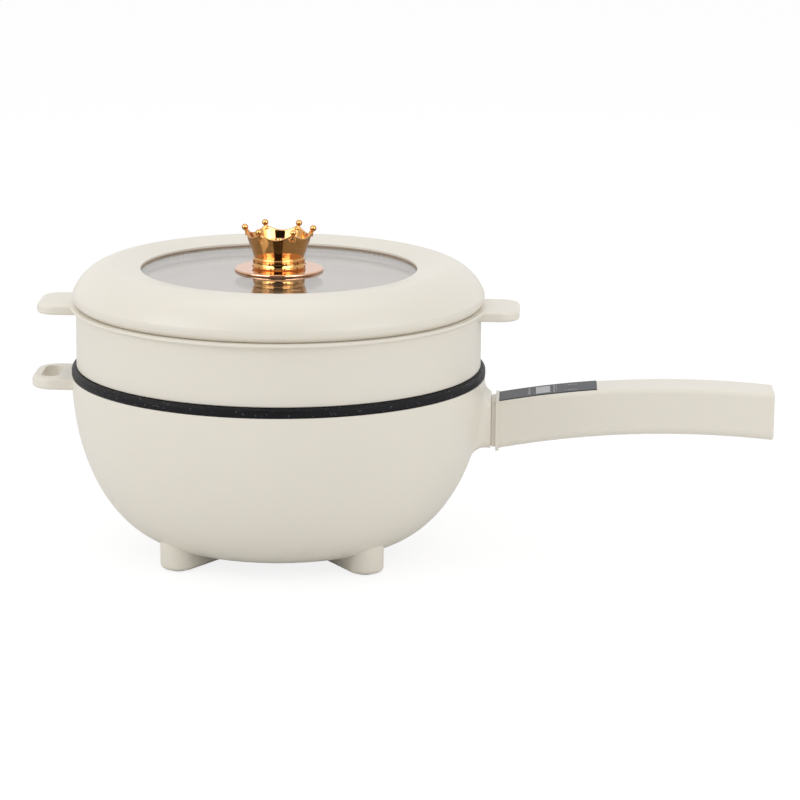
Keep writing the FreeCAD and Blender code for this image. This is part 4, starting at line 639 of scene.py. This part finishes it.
def patch(bm, x0, x1, y0, y1):
    """Thin printed rectangle that follows the panel's arch."""
    steps = max(1, int((x1 - x0) / PRINT_STEP))
    tops, lows = [], []
    for step in range(steps + 1):
        x = x0 + (x1 - x0) * step / steps
        tops.append([bm.verts.new(panel_point(x, y, PRINT_LIFT + PRINT_THICK)) for y in (y0, y1)])
        lows.append([bm.verts.new(panel_point(x, y, PRINT_LIFT)) for y in (y0, y1)])
    for step in range(steps):
        a, b, c, d = tops[step], tops[step + 1], lows[step], lows[step + 1]
        bm.faces.new((a[0], b[0], b[1], a[1]))
        bm.faces.new((c[0], c[1], d[1], d[0]))
        bm.faces.new((c[0], d[0], b[0], a[0]))
        bm.faces.new((c[1], a[1], b[1], d[1]))
    bm.faces.new((tops[0][0], tops[0][1], lows[0][1], lows[0][0]))
    bm.faces.new((tops[-1][0], lows[-1][0], lows[-1][1], tops[-1][1]))


def window_mesh():
    """Blank display window."""
    bm = bmesh.new()
    patch(bm, *WINDOW_XS, -WINDOW_HALF_WIDTH, WINDOW_HALF_WIDTH)
    return mesh_of(bm, "display_window")


def marks_mesh():
    """Generic dashes and dots on both sides of the window, and two rows of dashes beyond."""
    bm = bmesh.new()
    for y in LEFT_DASH_YS:
        patch(bm, *LEFT_DASH_XS, y, y + LEFT_DASH_WIDTH)
    for y in RIGHT_DASH_YS:
        patch(bm, *RIGHT_DASH_XS, y, y + RIGHT_DASH_WIDTH)
        low = y + SMALL_DASH_INSET
        patch(bm, *SMALL_DASH_XS, low, low + SMALL_DASH_WIDTH)
    for y in ROW_YS:
        patch(bm, *ROW_DOT_XS, y - ROW_DOT_HALF_WIDTH, y + ROW_DOT_HALF_WIDTH)
        for dash in range(ROW_DASHES):
            x = ROW_DASH_X + ROW_DASH_PITCH * dash
            patch(bm, x, x + ROW_DASH_LENGTH, y - ROW_DASH_HALF_WIDTH, y + ROW_DASH_HALF_WIDTH)
    return mesh_of(bm, "panel_marks")


def make_panel_prints():
    """Display window and printed marks of the touch panel."""
    pale = surface("display_grey", DISPLAY_GREY, rough=0.22, vary=0.04, tint=0.03, grain=900.0,
                   depth=0.000004, coat=0.3)
    link("display_window", window_mesh(), "cooker", pale, smooth=False)
    ink = surface("mark_ink", MARK_GREY, rough=0.5, vary=0.05, tint=0.04, grain=900.0, depth=0.000004)
    link("panel_marks", marks_mesh(), "cooker", ink, smooth=False)


# Camera, backdrop, floor and lamps


def add_camera():
    """Camera at the place fitted to the photograph."""
    data = bpy.data.cameras.new("camera")
    data.lens = CAMERA_LENS_MM
    data.sensor_width = CAMERA_SENSOR_MM
    data.clip_end = CAMERA_CLIP_END
    camera = add_object("camera", data)
    turn = Matrix.Rotation(CAMERA_TURN, 4, "Z")
    place = turn @ Vector((CAMERA_SIDE, -CAMERA_BACK, CAMERA_HEIGHT))
    tilt = Matrix.Rotation(math.pi / 2 - CAMERA_DOWN, 4, "X")
    roll = Matrix.Rotation(CAMERA_ROLL, 4, "Z")
    camera.matrix_world = Matrix.Translation(place + Vector((AXIS_X, 0, 0))) @ turn @ tilt @ roll
    bpy.context.scene.camera = camera


def add_world():
    """White where the camera, metal or glass sees it, softer as a light."""
    world = bpy.data.worlds.new("world")
    bpy.context.scene.world = world
    world.use_nodes = True
    tree = world.node_tree
    sky = tree.nodes["Background"]
    sky.inputs["Color"].default_value = (1, 1, 1, 1)
    rays = tree.nodes.new("ShaderNodeLightPath").outputs
    through = combined(tree, "MAXIMUM", rays["Is Camera Ray"], rays["Is Transmission Ray"])
    seen = combined(tree, "MAXIMUM", through, rays["Is Glossy Ray"])
    tree.links.new(spread(tree, seen, WORLD_LIGHT, 1.0, 0.0, 1.0), sky.inputs["Strength"])


def add_floor():
    """White floor that keeps a soft shadow."""
    mesh = card_mesh("floor", FLOOR_SIZE)
    floor = add_object("floor", mesh)
    floor.location.z = -FLOOR_DROP
    mat, tree, shader = new_material("floor")
    shader.inputs["Base Color"].default_value = (*FLOOR_GREY, 1)
    shader.inputs["Roughness"].default_value = 1.0
    shader.inputs["Specular IOR Level"].default_value = 0.0
    glow = tree.nodes.new("ShaderNodeEmission")
    glow.inputs["Strength"].default_value = FLOOR_GLOW
    rays = tree.nodes.new("ShaderNodeLightPath").outputs
    seen = combined(tree, "MAXIMUM", rays["Is Camera Ray"], rays["Is Transmission Ray"])
    share = spread(tree, seen, 0.0, 1 - FLOOR_SHADE, 0.0, 1.0)
    blended(tree, share, shader.outputs["BSDF"], glow.outputs["Emission"])
    mesh.materials.append(mat)


def add_lamp(name, place, size, power, target=LAMP_TARGET):
    """Softbox of a width and height, facing a target."""
    data = bpy.data.lights.new(name, "AREA")
    data.shape = "RECTANGLE"
    data.size, data.size_y = size
    data.energy = power
    lamp = add_object(name, data)
    aim(lamp, place, target)
    return lamp


def add_crown_lamps(lit):
    """Two bright upright softboxes in front that light only the shine of the given pieces."""
    metal = bpy.data.collections.new("crown_metal")
    for obj in lit:
        metal.objects.link(obj)
    for name, side in (("crown_softbox_left", -1), ("crown_softbox_right", 1)):
        place = (AXIS_X + side * CROWN_LAMP_SIDE, CROWN_LAMP_Y, CROWN_LAMP_Z)
        lamp = add_lamp(name, place, CROWN_LAMP_SIZE, CROWN_LAMP_WATTS, CROWN_LAMP_TARGET)
        lamp.visible_diffuse = False
        lamp.light_linking.receiver_collection = metal


def add_flag():
    """Black card in front that shiny surfaces reflect, unseen by the camera and without a shadow."""
    mesh = card_mesh("camera_flag", FLAG_SIZE)
    flag = add_object("camera_flag", mesh)
    aim(flag, FLAG_PLACE, FLAG_TARGET)
    mat, _, shader = new_material("camera_flag")
    shader.inputs["Base Color"].default_value = (*FLAG_BLACK, 1)
    shader.inputs["Roughness"].default_value = 1.0
    mesh.materials.append(mat)
    flag.visible_camera = False
    flag.visible_diffuse = False
    flag.visible_shadow = False


dress_nodes()
crown_pieces = make_crown()
make_panel_prints()
add_camera()
add_world()
add_floor()
for lamp_values in LAMPS:
    add_lamp(*lamp_values)
add_crown_lamps(crown_pieces)
add_flag()
bpy.context.scene.view_settings.view_transform = "Standard"
